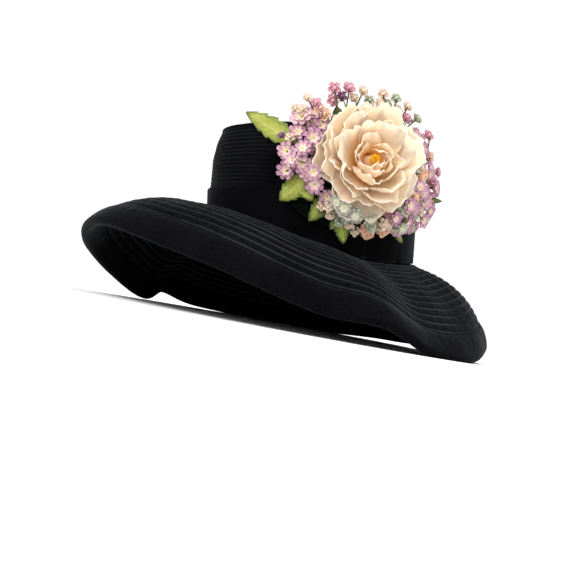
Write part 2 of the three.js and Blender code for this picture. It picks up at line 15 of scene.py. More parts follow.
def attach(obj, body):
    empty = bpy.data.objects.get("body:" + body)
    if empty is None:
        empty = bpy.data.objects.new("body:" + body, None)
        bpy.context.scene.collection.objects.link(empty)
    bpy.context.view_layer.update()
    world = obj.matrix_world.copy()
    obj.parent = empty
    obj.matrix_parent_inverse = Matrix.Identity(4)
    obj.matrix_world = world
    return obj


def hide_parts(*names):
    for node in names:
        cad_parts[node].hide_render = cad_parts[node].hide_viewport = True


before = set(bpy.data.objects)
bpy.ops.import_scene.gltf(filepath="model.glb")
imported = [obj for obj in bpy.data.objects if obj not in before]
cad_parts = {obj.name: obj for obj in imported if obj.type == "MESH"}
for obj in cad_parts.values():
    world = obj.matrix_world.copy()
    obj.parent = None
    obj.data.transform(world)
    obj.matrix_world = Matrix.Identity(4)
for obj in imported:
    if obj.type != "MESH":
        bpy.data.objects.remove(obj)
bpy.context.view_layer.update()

METRES = 0.001

# Cloth sizes, as in the solids
HEAD_HALF_WIDTH = 84.0
HEAD_HALF_LENGTH = 99.0
GAP = 0.3
WALL = 2.2
SIDE_SHARE = 0.975
TIP_SHARE = 0.885
TIP_SEAM = 89.0
BAND_TOP = 42.0
BAND_FOOT = 1.3
BRIM_WALL = 3.0
BRIM_CURL = 1.3
BINDING_WIDTH = 20.0
BINDING_HALF_START = 2.2
BINDING_HALF_FULL = 4.3
BINDING_LIP = {"reach": 1.2, "inside": 1.75, "clear": 0.25}

# Attitude at rest
LEAN_DEG = 6.9
LEAN_TOWARD = -56.0
TIP_TOP = (0.0, 0.0, 97.5)

# Crown, outside: height above the seam plane, and share of the head oval
CROWN_SIDE = {"height": (-16.0, BAND_TOP, 66.0, 80.0, TIP_SEAM),
              "share": (SIDE_SHARE, SIDE_SHARE, 0.96, 0.925, TIP_SHARE)}
CROWN_TIP = {"share": (0.0, 0.25, 0.5, 0.8, TIP_SHARE), "height": (97.5, 97.1, 96.0, 93.5, 91.5)}

# Brim sections: bearing, seam height, droop at the seam and at the edge in degrees, and width along the cloth
BRIM_SECTIONS = np.array([
    (-180, -2, 36, 58, 106),
    (-150, 0, 34, 53, 107),
    (-120, 4, 24, 52, 107),
    (-100, 6, 12, 62, 106),
    (-90, 6, 8, 74, 106),
    (-75, 6, -8, 62, 106),
    (-60, 6, -22, 54, 107),
    (-30, 5, -40, 54, 107),
    (0, 3, -37, 80, 108),
    (30, -1, -6, 80, 108),
    (45, -6, 4, 66, 108),
    (60, -11, 20, 64, 108),
    (75, -12, 21, 70, 108),
    (90, -12, 12, 88, 104),
    (105, -11, 14, 88, 94),
    (120, -9, 34, 80, 86),
    (135, -7, 45, 74, 84),
    (150, -5, 46, 74, 88),
    (165, -3, 42, 64, 98),
], dtype=[(name, float) for name in ("bearing", "seam", "root", "edge", "width")])
BRIM_FOLD = {"bearing": -99.0, "lift": 6.0, "spread": 8.0, "start": 0.35}

# Stitching: distance between rows, depth of their grooves, half width in rows, and stitches in one turn
BRIM_ROW = 6.6
CROWN_ROW = 3.4
BRIM_GROOVE = 0.55
CROWN_GROOVE = 0.25
GROOVE_HALF_WIDTH = 0.16
STITCHES_ROUND = 230

# Softness: the crown's waves, which grow between two angles from the corsage, and the sewn cloth's unevenness
CROWN_WAVES = {"lean": 2.4, "sag": 1.9, "from": 52, "to": 80}
CROWN_PUCKER = 0.12
BRIM_PUCKER = 0.16
BRIM_SWELL = 0.4
EDGE_PUCKERS = {"fine": 0.45, "deep": 0.35, "slow": 0.35}

# Creases at the band's foot: bearing, reach up the band and share of the depth
BAND_CREASES = [
    (-20, 9, 0.6), (-4, 13, 0.5), (9, 10, 0.5), (21, 12, 0.7), (38, 9, 0.5), (61, 14, 0.7), (83, 10, 0.5),
    (104, 12, 0.6), (127, 9, 0.5), (151, 12, 0.6), (176, 10, 0.5), (-158, 13, 0.6), (-131, 9, 0.5),
    (-107, 12, 0.7), (-84, 10, 0.5), (-62, 13, 0.6), (-41, 10, 0.5),
]
CREASE = {"slant": 0.12, "half_width": 1.6, "depth": 1.4}

# Columns of points round the hat, and steps of the running sums along a brim section
ROUND = {"crown": 360, "band": 540, "brim": 480, "edge": 720}
BRIM_STEPS = 24

# Corsage sizes, and the seats and gaps of the solids
PAD = {"bearing": 57.0, "height": 49.0, "half_span": 39.0, "half_height": 36.0, "taper": 0.9, "wall": 2.0,
       "clear": 0.6, "frill": 0.4, "cloth": 1.6}
PAD_BRIDGE = (12.0, 24.0)
PEONY = {"bearing": 54.0, "height": 61.0, "facing_bearing": 47.0, "facing_rise": 8.0, "core_radius": 6.5,
         "core_height": 19.0, "clear_reach": 38.5}
STEM_RADIUS = 0.7
THIN_STEM = 0.4
STEM_SOLID = 0.9
STEM_SWELL = 0.5
SEAT_GAP = 0.5
LEAF_WALL = 0.5
LEAF_FOOT = 0.12
LEAF_CUP = 0.12
LEAF_BOW = 0.06
LEAF_WAVE = 0.09
LEAF_TEETH = {"count": 6, "depth": 0.24}
FLORETS_FACE = 37.0
FLORET_THICKNESS = 0.3
FLORET_COLUMNS = 8
LOBE_DEPTH = 0.13
STAMENS = {"count": 60, "golden_angle": 2.4, "thread": 0.16}

# Rings of petals: belly and rim are (out, up), and the fold draws the petals on one side in over the heart
# The tint is painted shade: a higher tint moves a ring's silk deeper into the heart's peach and orange.
RING_COLUMNS = ("name", "count", "turn", "base", "belly", "rim", "spread", "wave", "fold", "tint")
PETAL_RINGS = [
    ("guard", 5, 10, 4, (29, 3), (43.5, 15), 1.35, 4.5, 0.0, 0.0),
    ("middle", 5, 46, 8, (28, 9), (37, 28), 1.3, 4.6, 0.13, 0.1),
    ("inner", 4, 24, 12, (24, 15), (23, 34), 1.2, 4.2, 0.3, 0.3),
    ("heart", 3, 60, 15, (17, 18), (13, 31), 1.2, 3.6, 0.42, 0.5),
]
FILLING_RINGS = [
    ("second", 5, 74, 6, (29, 6), (41.5, 22), 1.25, 5.2, 0.05, 0.05),
    ("fourth", 4, 88, 10, (26, 12), (30, 32), 1.1, 4.6, 0.22, 0.2),
    ("throat", 3, 205, 17, (13, 19), (7.5, 28), 1.0, 3.0, 0.6, 0.3),
]
FOLD_TOWARD = -15.0
FOLD_RISE = 9.0
PETAL = {"thickness": 0.4, "tuck": 1.0, "cup": 1.2, "roll": 2.0, "crimp": 0.09, "narrowing": 0.28}

# Blossoms: kind, bearing, height, stand-off, radius, and the foot's bearing and height
BLOSSOMS = [
    ("lilac", 28, 78, 17, 6.5, 31, 74),
    ("lilac", 24, 58, 15, 6.5, 27, 57),
    ("lilac", 31, 61, 11, 5.5, 33, 63),
    ("lilac", 22, 93, 17, 7, 27, 77),
    ("lilac", 30, 43, 15, 6.5, 34, 45),
    ("lilac", 17, 67, 14, 6, 23, 61),
    ("lilac", 17, 52, 12, 6, 23, 54),
    ("lilac", 36, 35, 11, 5, 38, 38),
    ("lilac", 90, 82, 17, 6.5, 86, 74),
    ("lilac", 73, 16, 13, 5.5, 73, 22),
    ("lilac", 86, 47, 19, 6, 84, 48),
    ("lilac", 94, 52, 22, 6, 90, 53),
    ("lilac", 93, 34, 19, 5.5, 88, 36),
    ("sage", 42, 26, 13, 5.5, 46, 35),
    ("sage", 55, 27, 12, 4.5, 55, 30),
]

# Sprays: name, foot, outward swell, and each bud as (bearing, height, stand-off, radius, paint)
SPRAYS = [
    ("left", (23, 68), 0.4, [(18, 77, 19, 2.6, "cream"), (14, 79, 17, 2.2, "violet")]),
    ("upper_left", (34, 80), 0.15, [(30, 101, 19, 3.0, "peach"), (24, 108, 18, 2.4, "cream")]),
    ("top_left", (42, 82), 0.1, [(36, 117, 17, 3.6, "pink"), (43, 119, 17, 3.6, "pink"),
                                 (50, 118, 17, 3.0, "cream")]),
    ("top_right", (68, 82), 0.1, [(60, 118, 18, 3.0, "cream"), (68, 117, 18, 3.0, "green"),
                                  (76, 113, 19, 3.0, "cream"), (84, 106, 20, 3.2, "green")]),
    ("right", (90, 63), 0.3, [(97, 96, 21, 3.2, "pink"), (98, 78, 19, 3.4, "peach"),
                              (101, 67, 23, 3.0, "pink")]),
    ("low_left", (50, 26), 0.4, [(51, 20, 11, 3.0, "cream"), (51, 11, 9, 2.8, "cream")]),
    ("low_middle", (61, 19), 0.4, [(62, 32, 13, 3.0, "green"), (61, 19, 12, 4.0, "peach"),
                                   (57, 10, 10, 3.6, "peach"), (67, 24, 12, 3.2, "cream")]),
    ("low_right", (80, 28), 0.4, [(80, 24, 13, 3.0, "green"), (81, 36, 15, 3.0, "cream"),
                                  (87, 21, 14, 2.8, "pink")]),
]
BUD_TINTS = {"cream": 0.02, "pink": 0.2, "peach": 0.4, "green": 0.6, "violet": 0.82}

# Small flowers between the others: kind or paint, bearing, height, stand-off and radius
SMALL_FLOWERS = [
    ("lilac", 27, 90, 15, 6), ("lilac", 24, 69, 18, 5.5), ("lilac", 21, 82, 15, 5.5),
    ("lilac", 20, 60, 17, 5), ("lilac", 27, 50, 16, 5.5), ("lilac", 31, 88, 16, 6), ("lilac", 28, 97, 17, 5),
    ("lilac", 27, 71, 13, 5.5), ("lilac", 29, 52, 20, 5.5), ("pink", 28, 105, 18, 3.2),
    ("cream", 22, 99, 19, 3), ("peach", 32, 97, 19, 3.8), ("cream", 19, 100, 17, 2.6),
    ("pink", 36, 108, 15, 3.4), ("violet", 40, 112, 15, 3), ("cream", 46, 112, 16, 3),
    ("green", 54, 112, 15, 3), ("cream", 58, 110, 20, 3), ("green", 64, 112, 16, 3),
    ("cream", 71, 109, 16, 3), ("violet", 79, 104, 16, 2.8), ("pink", 75, 104, 20, 3),
    ("green", 87, 96, 17, 3), ("lilac", 84, 92, 18, 5), ("lilac", 92, 91, 16, 4.5),
    ("peach", 94, 86, 18, 3.6), ("pink", 98, 87, 16, 3.2), ("lilac", 95, 68, 18, 5),
    ("lilac", 91, 62, 19, 5.5), ("lilac", 97, 59, 18, 5), ("lilac", 88, 40, 19, 5.5),
    ("lilac", 96, 44, 18, 5), ("lilac", 90, 26, 17, 5), ("green", 84, 28, 16, 3.4),
    ("cream", 86, 34, 18, 3.2), ("lilac", 79, 19, 14, 5), ("green", 76, 22, 15, 3.4),
    ("lilac", 80, 33, 18, 5), ("cream", 70, 15, 12, 3), ("green", 83, 18, 14, 3.2), ("cream", 80, 29, 18, 3),
    ("sage", 39, 31, 19, 5), ("sage", 42, 27, 21, 5), ("sage", 47, 22, 20, 5), ("sage", 54, 20, 19, 5),
    ("sage", 45, 20, 14, 4), ("cream", 36, 27, 18, 2.8), ("cream", 47, 15, 12, 2.8),
    ("peach", 64, 13, 13, 3.6), ("peach", 58, 15, 15, 3.6), ("cream", 66, 17, 16, 3.4),
    ("peach", 54, 13, 14, 3.2), ("green", 70, 20, 16, 3.2), ("cream", 61, 15, 19, 3.2),
    ("sage", 72, 17, 19, 4.2), ("lilac", 75, 22, 19, 4.8), ("pink", 92, 56, 22, 3.2),
    ("lilac", 84, 84, 12, 5.5), ("lilac", 80, 74, 14, 5.5), ("lilac", 86, 70, 16, 5.5),
    ("lilac", 80, 60, 12, 5.5), ("lilac", 82, 52, 14, 5.5), ("lilac", 78, 43, 12, 5.5),
    ("pink", 83, 78, 20, 3.2), ("peach", 86, 61, 21, 3.2), ("cream", 83, 45, 20, 3.2),
    ("green", 78, 86, 12, 3.2), ("sage", 84, 38, 14, 4.5), ("cream", 78, 66, 18, 3.2),
    ("lilac", 76, 92, 10, 5), ("lilac", 74, 34, 10, 5), ("green", 77, 52, 18, 3.2), ("pink", 80, 90, 15, 3),
    ("lilac", 64, 23, 25, 5), ("cream", 60, 18, 23, 3.2), ("green", 67, 28, 26, 3.2),
    ("lilac", 70, 34, 28, 5.5), ("peach", 73, 41, 29, 3.4), ("lilac", 75, 49, 29, 5), ("pink", 62, 27, 21, 3),
    ("peach", 76, 57, 30, 3), ("cream", 77, 65, 28, 2.8), ("cream", 72, 30, 23, 3),
    ("green", 55, 13, 21, 2.8), ("cream", 38, 21, 11, 2.8), ("green", 42, 16, 11, 2.8),
    ("cream", 34, 28, 11, 2.6),
]

# Leaves: foot and tip as (bearing, height), the tip's stand-off, the widest half width and the tint
LEAVES = [
    ((23, 73), (-9, 98), 9, 9.0, 0.0),
    ((23, 49), (30, 31), 9, 7.0, 0.1),
    ((40, 33), (33, 23), 9, 4.0, 0.8),
    ((44, 22), (45, 1), 10, 6.5, 0.5),
    ((92, 44), (99, 43), 26, 3.5, 0.9),
]
BACK_LEAVES = [
    ((44, 76), (39, 105), 9, 8.0, 0.8),
    ((57, 78), (59, 110), 9, 8.5, 0.8),
    ((70, 75), (77, 104), 9, 8.0, 0.8),
    ((82, 66), (93, 92), 9, 7.0, 0.8),
    ((84, 40), (97, 30), 9, 6.5, 0.6),
    ((88, 56), (101, 60), 10, 6.5, 0.8),
    ((72, 24), (80, 6), 9, 6.0, 0.6),
    ((29, 52), (15, 30), 9, 9.5, 0.1),
    ((41, 42), (29, 16), 8, 8.0, 0.45),
    ((47, 28), (39, 11), 8, 6.0, 0.7),
]

# Studio: lamps as azimuth, elevation, distance, size and power, all aimed at the crown
LAMPS = {"key": (-10, 38, 1.6, 0.7, 15), "above": (150, 66, 1.6, 0.9, 14)}
LAMP_AIM = (0, 0, 0.1)
SKY_STRENGTH = 1.07
FLOOR_HALF = 8.0
SENSOR = 36
CAMERA = {"azimuth": 28.0, "elevation": -0.9, "roll": 10.5, "distance": 0.95, "frame_width": 0.483,
          "aim": (-0.0067, -0.0034, 0.031)}


# Turns and places
def turn_matrix(axis, angle):
    """Rotation about a unit axis: the cosine keeps, the cross product turns, the rest lies along the axis."""
    x, y, z = axis
    cross = np.array([(0, -z, y), (z, 0, -x), (-y, x, 0)])
    return np.eye(3) + math.sin(angle) * cross + (1 - math.cos(angle)) * cross @ cross


LEAN = turn_matrix((math.cos(math.radians(LEAN_TOWARD)), math.sin(math.radians(LEAN_TOWARD)), 0.0),
                   math.radians(LEAN_DEG))


def table_shift():
    """Where the upright frame's origin lands: the solid tip's highest vertex along its axis is its top."""
    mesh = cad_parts["crown_tip"].data
    places = np.zeros(len(mesh.vertices) * 3)
    mesh.vertices.foreach_get("co", places)
    places = places.reshape(-1, 3) / METRES
    return places[np.argmax(places @ LEAN[:, 2])] - LEAN @ np.array(TIP_TOP)


SHIFT = table_shift()


def at_rest(points):
    """Upright frame to the table's frame in metres, with the edge pressed flat where it meets the table."""
    placed = points @ LEAN.T + SHIFT
    placed[..., 2] = np.maximum(placed[..., 2], 0.0)
    return placed * METRES


def unit(vectors):
    """Vectors over their lengths."""
    return vectors / np.maximum(np.linalg.norm(vectors, axis=-1, keepdims=True), 1e-9)


def smooth(x, low, high):
    """Cubic step from 0 at low to 1 at high."""
    t = np.clip((x - low) / (high - low), 0, 1)
    return t * t * (3 - 2 * t)


def wobble(bearing, seed, lowest, count):
    """Closed random wave: sines with whole numbers of turns from lowest up, over the root of their count."""
    phases = np.random.default_rng(seed).uniform(0, 2 * np.pi, count)
    waves = np.multiply.outer(np.radians(bearing), lowest + np.arange(count)) + phases
    return np.sin(waves).sum(-1) / math.sqrt(count)


def off_bearing(bearing, middle):
    """Signed degrees from a middle bearing, the short way round."""
    return (bearing - middle + 180) % 360 - 180


def heading(azimuth, elevation):
    """Unit vector toward an azimuth and an elevation in degrees, azimuth counted as bearings are."""
    a, e = math.radians(azimuth), math.radians(elevation)
    return np.array([math.sin(a) * math.cos(e), -math.cos(a) * math.cos(e), math.sin(e)])


def outward(bearing):
    """Normal of the head oval at a bearing."""
    t = np.radians(bearing)
    return unit(np.stack([np.sin(t) / HEAD_HALF_WIDTH, -np.cos(t) / HEAD_HALF_LENGTH, 0 * t], -1))


def oval_point(bearing, share, offset, height):
    """Point of the head oval scaled by a share, moved along its normal by an offset, at a height."""
    t, share, offset, height = np.broadcast_arrays(np.radians(bearing), share, offset, height)
    oval = np.stack([HEAD_HALF_WIDTH * np.sin(t), -HEAD_HALF_LENGTH * np.cos(t), 0 * t], -1)
    point = oval * share[..., None] + outward(np.degrees(t)) * offset[..., None]
    point[..., 2] = height
    return point


def around(column, bearing):
    """Closed cubic through a column of the brim's sections, each slope taken from the two neighbours."""
    at = BRIM_SECTIONS["bearing"]
    value = BRIM_SECTIONS[column]
    turn = (np.asarray(bearing, float) - at[0]) % 360 + at[0]
    i = np.searchsorted(at, turn, side="right") - 1
    at = np.r_[at[-1] - 360, at, at[:2] + 360]
    value = np.r_[value[-1], value, value[:2]]
    slope = (value[2:] - value[:-2]) / (at[2:] - at[:-2])
    span = at[i + 2] - at[i + 1]
    u = (turn - at[i + 1]) / span
    rise = value[i + 2] - value[i + 1]
    bend = (slope[i] * span - rise) * (1 - u) + (rise - slope[i + 1] * span) * u
    return value[i + 1] + u * rise + u * (1 - u) * bend


def crown_share(height):
    """Share of the head oval at a height of the crown's side."""
    return np.interp(height, CROWN_SIDE["height"], CROWN_SIDE["share"])


def brim_point(bearing, arc, offset):
    """Brim section: the droop turns from root to edge with the arc's share to a power, reach and fall are the
    running sums of its cosine and sine, and the offset moves off the middle of the cloth along its normal."""
    bearing, arc, offset = np.broadcast_arrays(bearing, arc, offset)
    root, edge, width = (around(name, bearing) for name in ("root", "edge", "width"))
    steps = (np.arange(BRIM_STEPS) + 0.5) / BRIM_STEPS
    shares = np.clip(arc[..., None] * steps / width[..., None], 0, None)
    droop = np.radians(root[..., None] + (edge - root)[..., None] * shares ** BRIM_CURL)
    reach = np.cos(droop).mean(-1) * arc
    fall = np.sin(droop).mean(-1) * arc
    last = np.radians(root + (edge - root) * np.clip(arc / width, 0, None) ** BRIM_CURL)
    across = off_bearing(bearing, BRIM_FOLD["bearing"]) / BRIM_FOLD["spread"]
    lift = BRIM_FOLD["lift"] * smooth(arc / width, BRIM_FOLD["start"], 1) * np.exp(-across * across)
    height = around("seam", bearing) - fall + lift
    return oval_point(bearing, 1.0, reach + np.sin(last) * offset, height + np.cos(last) * offset)


# Meshes
def shell(rings, places=None, wrapped=False, material=0, tint=0.0):
    """A closed skin from rings of points: each ring closes on itself, and a wrapped one also from last to
    first. Places on the cloth are one column wider than the points, so that a pattern runs on across the
    closing column."""
    rows, columns = rings.shape[:2]
    if places is None:
        places = np.zeros((rows, columns + 1, 2))
    r, c = np.meshgrid(np.arange(rows if wrapped else rows - 1), np.arange(columns), indexing="ij")
    corner_rows = np.stack([r, r, r + 1, r + 1], -1).reshape(-1, 4)
    corner_columns = np.stack([c, c + 1, c + 1, c], -1).reshape(-1, 4)
    corners = (corner_rows % rows) * columns + corner_columns % columns
    on_cloth = places[corner_rows % rows, corner_columns]
    points = rings.reshape(-1, 3)
    a, b, d, e = (points[corners[:, k]] for k in range(4))
    volume = np.einsum("ij,ij->", a, np.cross(b, d)) + np.einsum("ij,ij->", a, np.cross(d, e))
    if volume < 0:
        corners, on_cloth = corners[:, ::-1], on_cloth[:, ::-1]
    return {"points": points, "corners": corners, "places": on_cloth, "material": material, "tint": tint}


def sheet_shell(points, places, thickness, material=0, tint=0.0):
    """A thin sheet from a grid of points: both faces lie half the thickness off it along its normals, each
    row goes round over both, and the first and last rows close on the middle of the cloth."""
    normals = unit(np.cross(np.gradient(points, axis=0), np.gradient(points, axis=1)))
    front = points + normals * thickness / 2
    back = points - normals * thickness / 2
    closing = np.concatenate([points, points[:, ::-1]], 1)
    rings = np.concatenate([front, back[:, ::-1]], 1)
    rings = np.concatenate([closing[:1], rings, closing[-1:]], 0)
    both = np.concatenate([places, places[:, ::-1], places[:, :1]], 1)
    both = np.concatenate([both[:1], both, both[-1:]], 0)
    return shell(rings, both, material=material, tint=tint)


def sheet_places(rows, columns):
    """Rows from 0 to 1 along a sheet, columns from -1 to 1 across it, and both as places on the cloth."""
    u = np.linspace(0, 1, rows)[:, None]
    v = np.linspace(-1, 1, columns)
    return u, v, np.stack(np.broadcast_arrays(v[None, :], u), -1)


def dress(name, shells, materials, replaces=()):
    """Joins shells into one mesh at rest, merges poles and closing rows, and lets it stand for its solids."""
    mesh = bpy.data.meshes.new(name)
    offsets = np.cumsum([0] + [len(s["points"]) for s in shells])
    points = at_rest(np.concatenate([s["points"] for s in shells]))
    corners = np.concatenate([s["corners"] + offset for s, offset in zip(shells, offsets)])
    places = np.concatenate([s["places"] for s in shells])
    tints = np.concatenate([np.full(len(s["points"]), s["tint"]) for s in shells])
    faces = len(corners)
    mesh.vertices.add(len(points))
    mesh.vertices.foreach_set("co", points.astype(np.float32).ravel())
    mesh.loops.add(4 * faces)
    mesh.loops.foreach_set("vertex_index", corners.astype(np.int32).ravel())
    mesh.polygons.add(faces)
    mesh.polygons.foreach_set("loop_start", np.arange(0, 4 * faces, 4, dtype=np.int32))
    mesh.update(calc_edges=True)
    mesh.uv_layers.new(name="cloth").data.foreach_set("uv", places.astype(np.float32).ravel())
    mesh.attributes.new("tint", "FLOAT", "POINT").data.foreach_set("value", tints.astype(np.float32))
    indices = np.concatenate([np.full(len(s["corners"]), s["material"]) for s in shells])
    mesh.polygons.foreach_set("material_index", indices.astype(np.int32))
    merge_doubles(mesh)
    for material in materials:
        mesh.materials.append(material)
    mesh.shade_smooth()
    piece = bpy.data.objects.new(name, mesh)
    bpy.context.scene.collection.objects.link(piece)
    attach(piece, "root")
    if replaces:
        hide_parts(*replaces)
    return piece


def merge_doubles(mesh):
    """Merges equal points, so that poles and closing rows are closed."""
    work = bmesh.new()
    work.from_mesh(mesh)
    bmesh.ops.remove_doubles(work, verts=work.verts, dist=1e-7)
    work.to_mesh(mesh)
    work.free()


# Materials
def paint(red, green, blue):
    """Screen colour from 0 to 255 as a linear shader colour."""
    screen = np.array([red, green, blue]) / 255
    linear = np.where(screen <= 0.04045, screen / 12.92, ((screen + 0.055) / 1.055) ** 2.4)
    return (*linear.tolist(), 1.0)


WHITE = (255, 255, 255)


class Surface:
    """A material under way: its shader with set sockets, and short ways to make the nodes that feed it."""

    def __init__(self, name, sockets):
        self.material = bpy.data.materials.new(name)
        self.material.use_nodes = True
        self.tree = self.material.node_tree
        self.shader = self.tree.nodes["Principled BSDF"]
        for socket, value in sockets.items():
            self.feed(self.shader.inputs[socket], value)

    def node(self, kind, inputs, **settings):
        """A new node with its settings, and its inputs linked from sockets or set to values."""
        made = self.tree.nodes.new("ShaderNode" + kind)
        for key, value in settings.items():
            setattr(made, key, value)
        for key, value in inputs.items():
            self.feed(made.inputs[key], value)
        return made

    def feed(self, socket, value):
        """Links a socket from another one, or sets it to a value."""
        if isinstance(value, bpy.types.NodeSocket):
            self.tree.links.new(value, socket)
        else:
            socket.default_value = value

    def calc(self, operation, *values):
        """One arithmetic step on sockets or numbers."""
        return self.node("Math", dict(enumerate(values)), operation=operation).outputs[0]

    def step(self, value, low, high):
        """Cubic step of a socket from 0 at low to 1 at high."""
        inputs = {"Value": value, "From Min": low, "From Max": high}
        return self.node("MapRange", inputs, interpolation_type="SMOOTHSTEP").outputs[0]

    def noise(self, vector, scale, detail=3.0, roughness=0.55, stretch=None):
        """Noise in turns for each metre, or for each unit of a cloth place, stretched along the axes."""
        if stretch:
            vector = self.node("Mapping", {"Vector": vector, "Scale": stretch}).outputs[0]
        inputs = {"Vector": vector, "Scale": scale, "Detail": detail, "Roughness": roughness}
        return self.node("TexNoise", inputs).outputs[0]

    def ramp(self, factor, stops):
        """Colour ramp over a factor, from stops of a place and a screen colour."""
        made = self.node("ValToRGB", {0: factor})
        elements = made.color_ramp.elements
        while len(elements) < len(stops):
            elements.new(0.5)
        for element, (place, *colour) in zip(elements, stops):
            element.position = place
            element.color = paint(*colour)
        return made.outputs[0]

    def blend(self, factor, under, over, way="MIX"):
        """Two colours, given as sockets or values, blended by a factor."""
        made = self.node("Mix", {}, data_type="RGBA", blend_type=way)
        for socket, value in zip([s for s in made.inputs if s.enabled], (factor, under, over)):
            self.feed(socket, value)
        return next(s for s in made.outputs if s.enabled)

    def where(self):
        """Place in the piece's own metres."""
        return self.node("TexCoord", {}).outputs["Object"]

    def places(self):
        """Place on the cloth, and its two parts, across and along."""
        uv = self.node("UVMap", {}, uv_map="cloth").outputs[0]
        parts = self.node("SeparateXYZ", {0: uv})
        return uv, parts.outputs[0], parts.outputs[1]

    def tint(self):
        """The piece's own tint, from 0 to 1."""
        return self.node("Attribute", {}, attribute_name="tint").outputs["Fac"]

    def dye(self, colour):
        """Colours the surface."""
        self.tree.links.new(colour, self.shader.inputs["Base Color"])

    def bump(self, height, strength, distance):
        """Relief of a height on the shader's normal, its distance in metres."""
        relief = self.node("Bump", {"Strength": strength, "Distance": distance, "Height": height})
        self.tree.links.new(relief.outputs[0], self.shader.inputs["Normal"])


def stitching(cloth):
    """A mask along each whole row for the rows' painted highlight, and relief: a soft valley there, deeper
    along dashes of thread.
    """
    _, stitch, row = cloth.places()
    off_row = cloth.calc("PINGPONG", row, 0.5)
    row_highlight_mask = cloth.calc("SUBTRACT", 1.0, cloth.step(off_row, 0.03, 0.18))
    thread = cloth.calc("SUBTRACT", 1.0, cloth.step(off_row, 0.02, 0.07))
    dash = cloth.step(cloth.calc("PINGPONG", stitch, 0.5), 0.08, 0.16)
    valley = cloth.calc("MULTIPLY", cloth.step(off_row, 0.0, 0.16), 1.1)
    return row_highlight_mask, cloth.calc("SUBTRACT", valley, cloth.calc("MULTIPLY", dash, thread))


def lint(cloth, where):
    """A few specks of lint: the middles of some cells of a random pattern."""
    cells = cloth.node("TexVoronoi", {"Vector": where, "Scale": 75}, feature="F1")
    near = cloth.calc("LESS_THAN", cells.outputs["Distance"], 0.03)
    chance = cloth.node("SeparateColor", {0: cells.outputs["Color"]}).outputs[0]
    return cloth.calc("MULTIPLY", near, cloth.calc("GREATER_THAN", chance, 0.9))


def velvet(name, nap_and_sheen, rows=None):
    """Black pile: brushed patches in their own paint, which is painted sheen where lighter than the pile,
    specks of lint, a grey sheen at grazing angles, a fine relief of the pile and, where it is stitched, a
    paler paint along each row as painted highlight, with sunk dashes of thread."""
    cloth = Surface(name, {"Roughness": 1.0, "Specular IOR Level": 0.04, "Sheen Weight": 0.12,
                           "Sheen Roughness": 0.28, "Sheen Tint": paint(198, 206, 216)})
    where = cloth.where()
    brushed = cloth.noise(where, 34, 4)
    pile = cloth.ramp(brushed, [(0.35, 3, 3, 4), (0.7, 9, 9, 12)])
    tufts = cloth.step(cloth.noise(where, 420, 4, 0.7), 0.42, 0.72)
    stroked = cloth.step(cloth.noise(where, 22), 0.3, 0.62)
    # Patches in their own paint: the pile's tone on the crown and band, painted sheen on the brim and the
    # padded edge.
    pile = cloth.blend(cloth.calc("MULTIPLY", tufts, stroked), pile, paint(*nap_and_sheen))
    height = cloth.calc("MULTIPLY_ADD", cloth.noise(where, 1500, 2), 0.35, cloth.noise(where, 260))
    if rows:
        row_highlight_mask, relief = stitching(cloth)
        # A paler paint along each row of stitching: a painted highlight.
        row_highlight = cloth.calc("MULTIPLY", row_highlight_mask, cloth.step(brushed, 0.34, 0.66))
        pile = cloth.blend(row_highlight, pile, paint(*rows))
        height = cloth.calc("ADD", height, relief)
    cloth.dye(cloth.blend(lint(cloth, where), pile, paint(120, 122, 128)))
    cloth.bump(height, 0.7, 0.0006)
    return cloth.material


def silk(name, stops):
    """Silk: cream at the rim, peach to orange toward the petal's foot as painted shade of the heart, deeper
    where the tint is higher, mottled, with pleats that run from foot to rim.
    """
    cloth = Surface(name, {"Roughness": 0.62, "Specular IOR Level": 0.3, "Sheen Weight": 0.2,
                           "Sheen Roughness": 0.5, "Subsurface Weight": 0.55,
                           "Subsurface Radius": (1.0, 0.75, 0.5), "Subsurface Scale": 0.0045})
    uv, _, along = cloth.places()
    shift = cloth.calc("MULTIPLY_ADD", cloth.noise(uv, 3), 0.3, -0.15)
    # Painted shade: peach to orange at the petal's foot, cream at the rim; a higher tint moves deeper into
    # it.
    shaded_along = cloth.calc("MULTIPLY_ADD", cloth.tint(), -0.3, along)
    cloth.dye(cloth.ramp(cloth.calc("ADD", shaded_along, shift), stops))
    pleats = cloth.noise(uv, 7, 4, 0.6, (6.0, 0.7, 1.0))
    weave = cloth.noise(cloth.where(), 2600, 1)
    cloth.bump(cloth.calc("MULTIPLY_ADD", weave, 0.12, pleats), 0.5, 0.00025)
    return cloth.material


def floret_cloth(name, stops):
    """Small petals: colours from the eye to the dyed ends, paler or darker by the tint, with veins."""
    cloth = Surface(name, {"Roughness": 0.7, "Specular IOR Level": 0.25, "Subsurface Weight": 0.2,
                           "Subsurface Radius": (1.0, 0.7, 0.8), "Subsurface Scale": 0.001})
    uv, _, along = cloth.places()
    place = cloth.calc("ADD", along, cloth.calc("MULTIPLY_ADD", cloth.noise(uv, 7), 0.3, -0.15))
    place = cloth.calc("ADD", place, cloth.calc("MULTIPLY_ADD", cloth.tint(), 0.2, -0.1))
    cloth.dye(cloth.ramp(place, stops))
    cloth.bump(cloth.noise(uv, 6, 3, 0.6, (9.0, 1.0, 1.0)), 0.5, 0.0002)
    return cloth.material


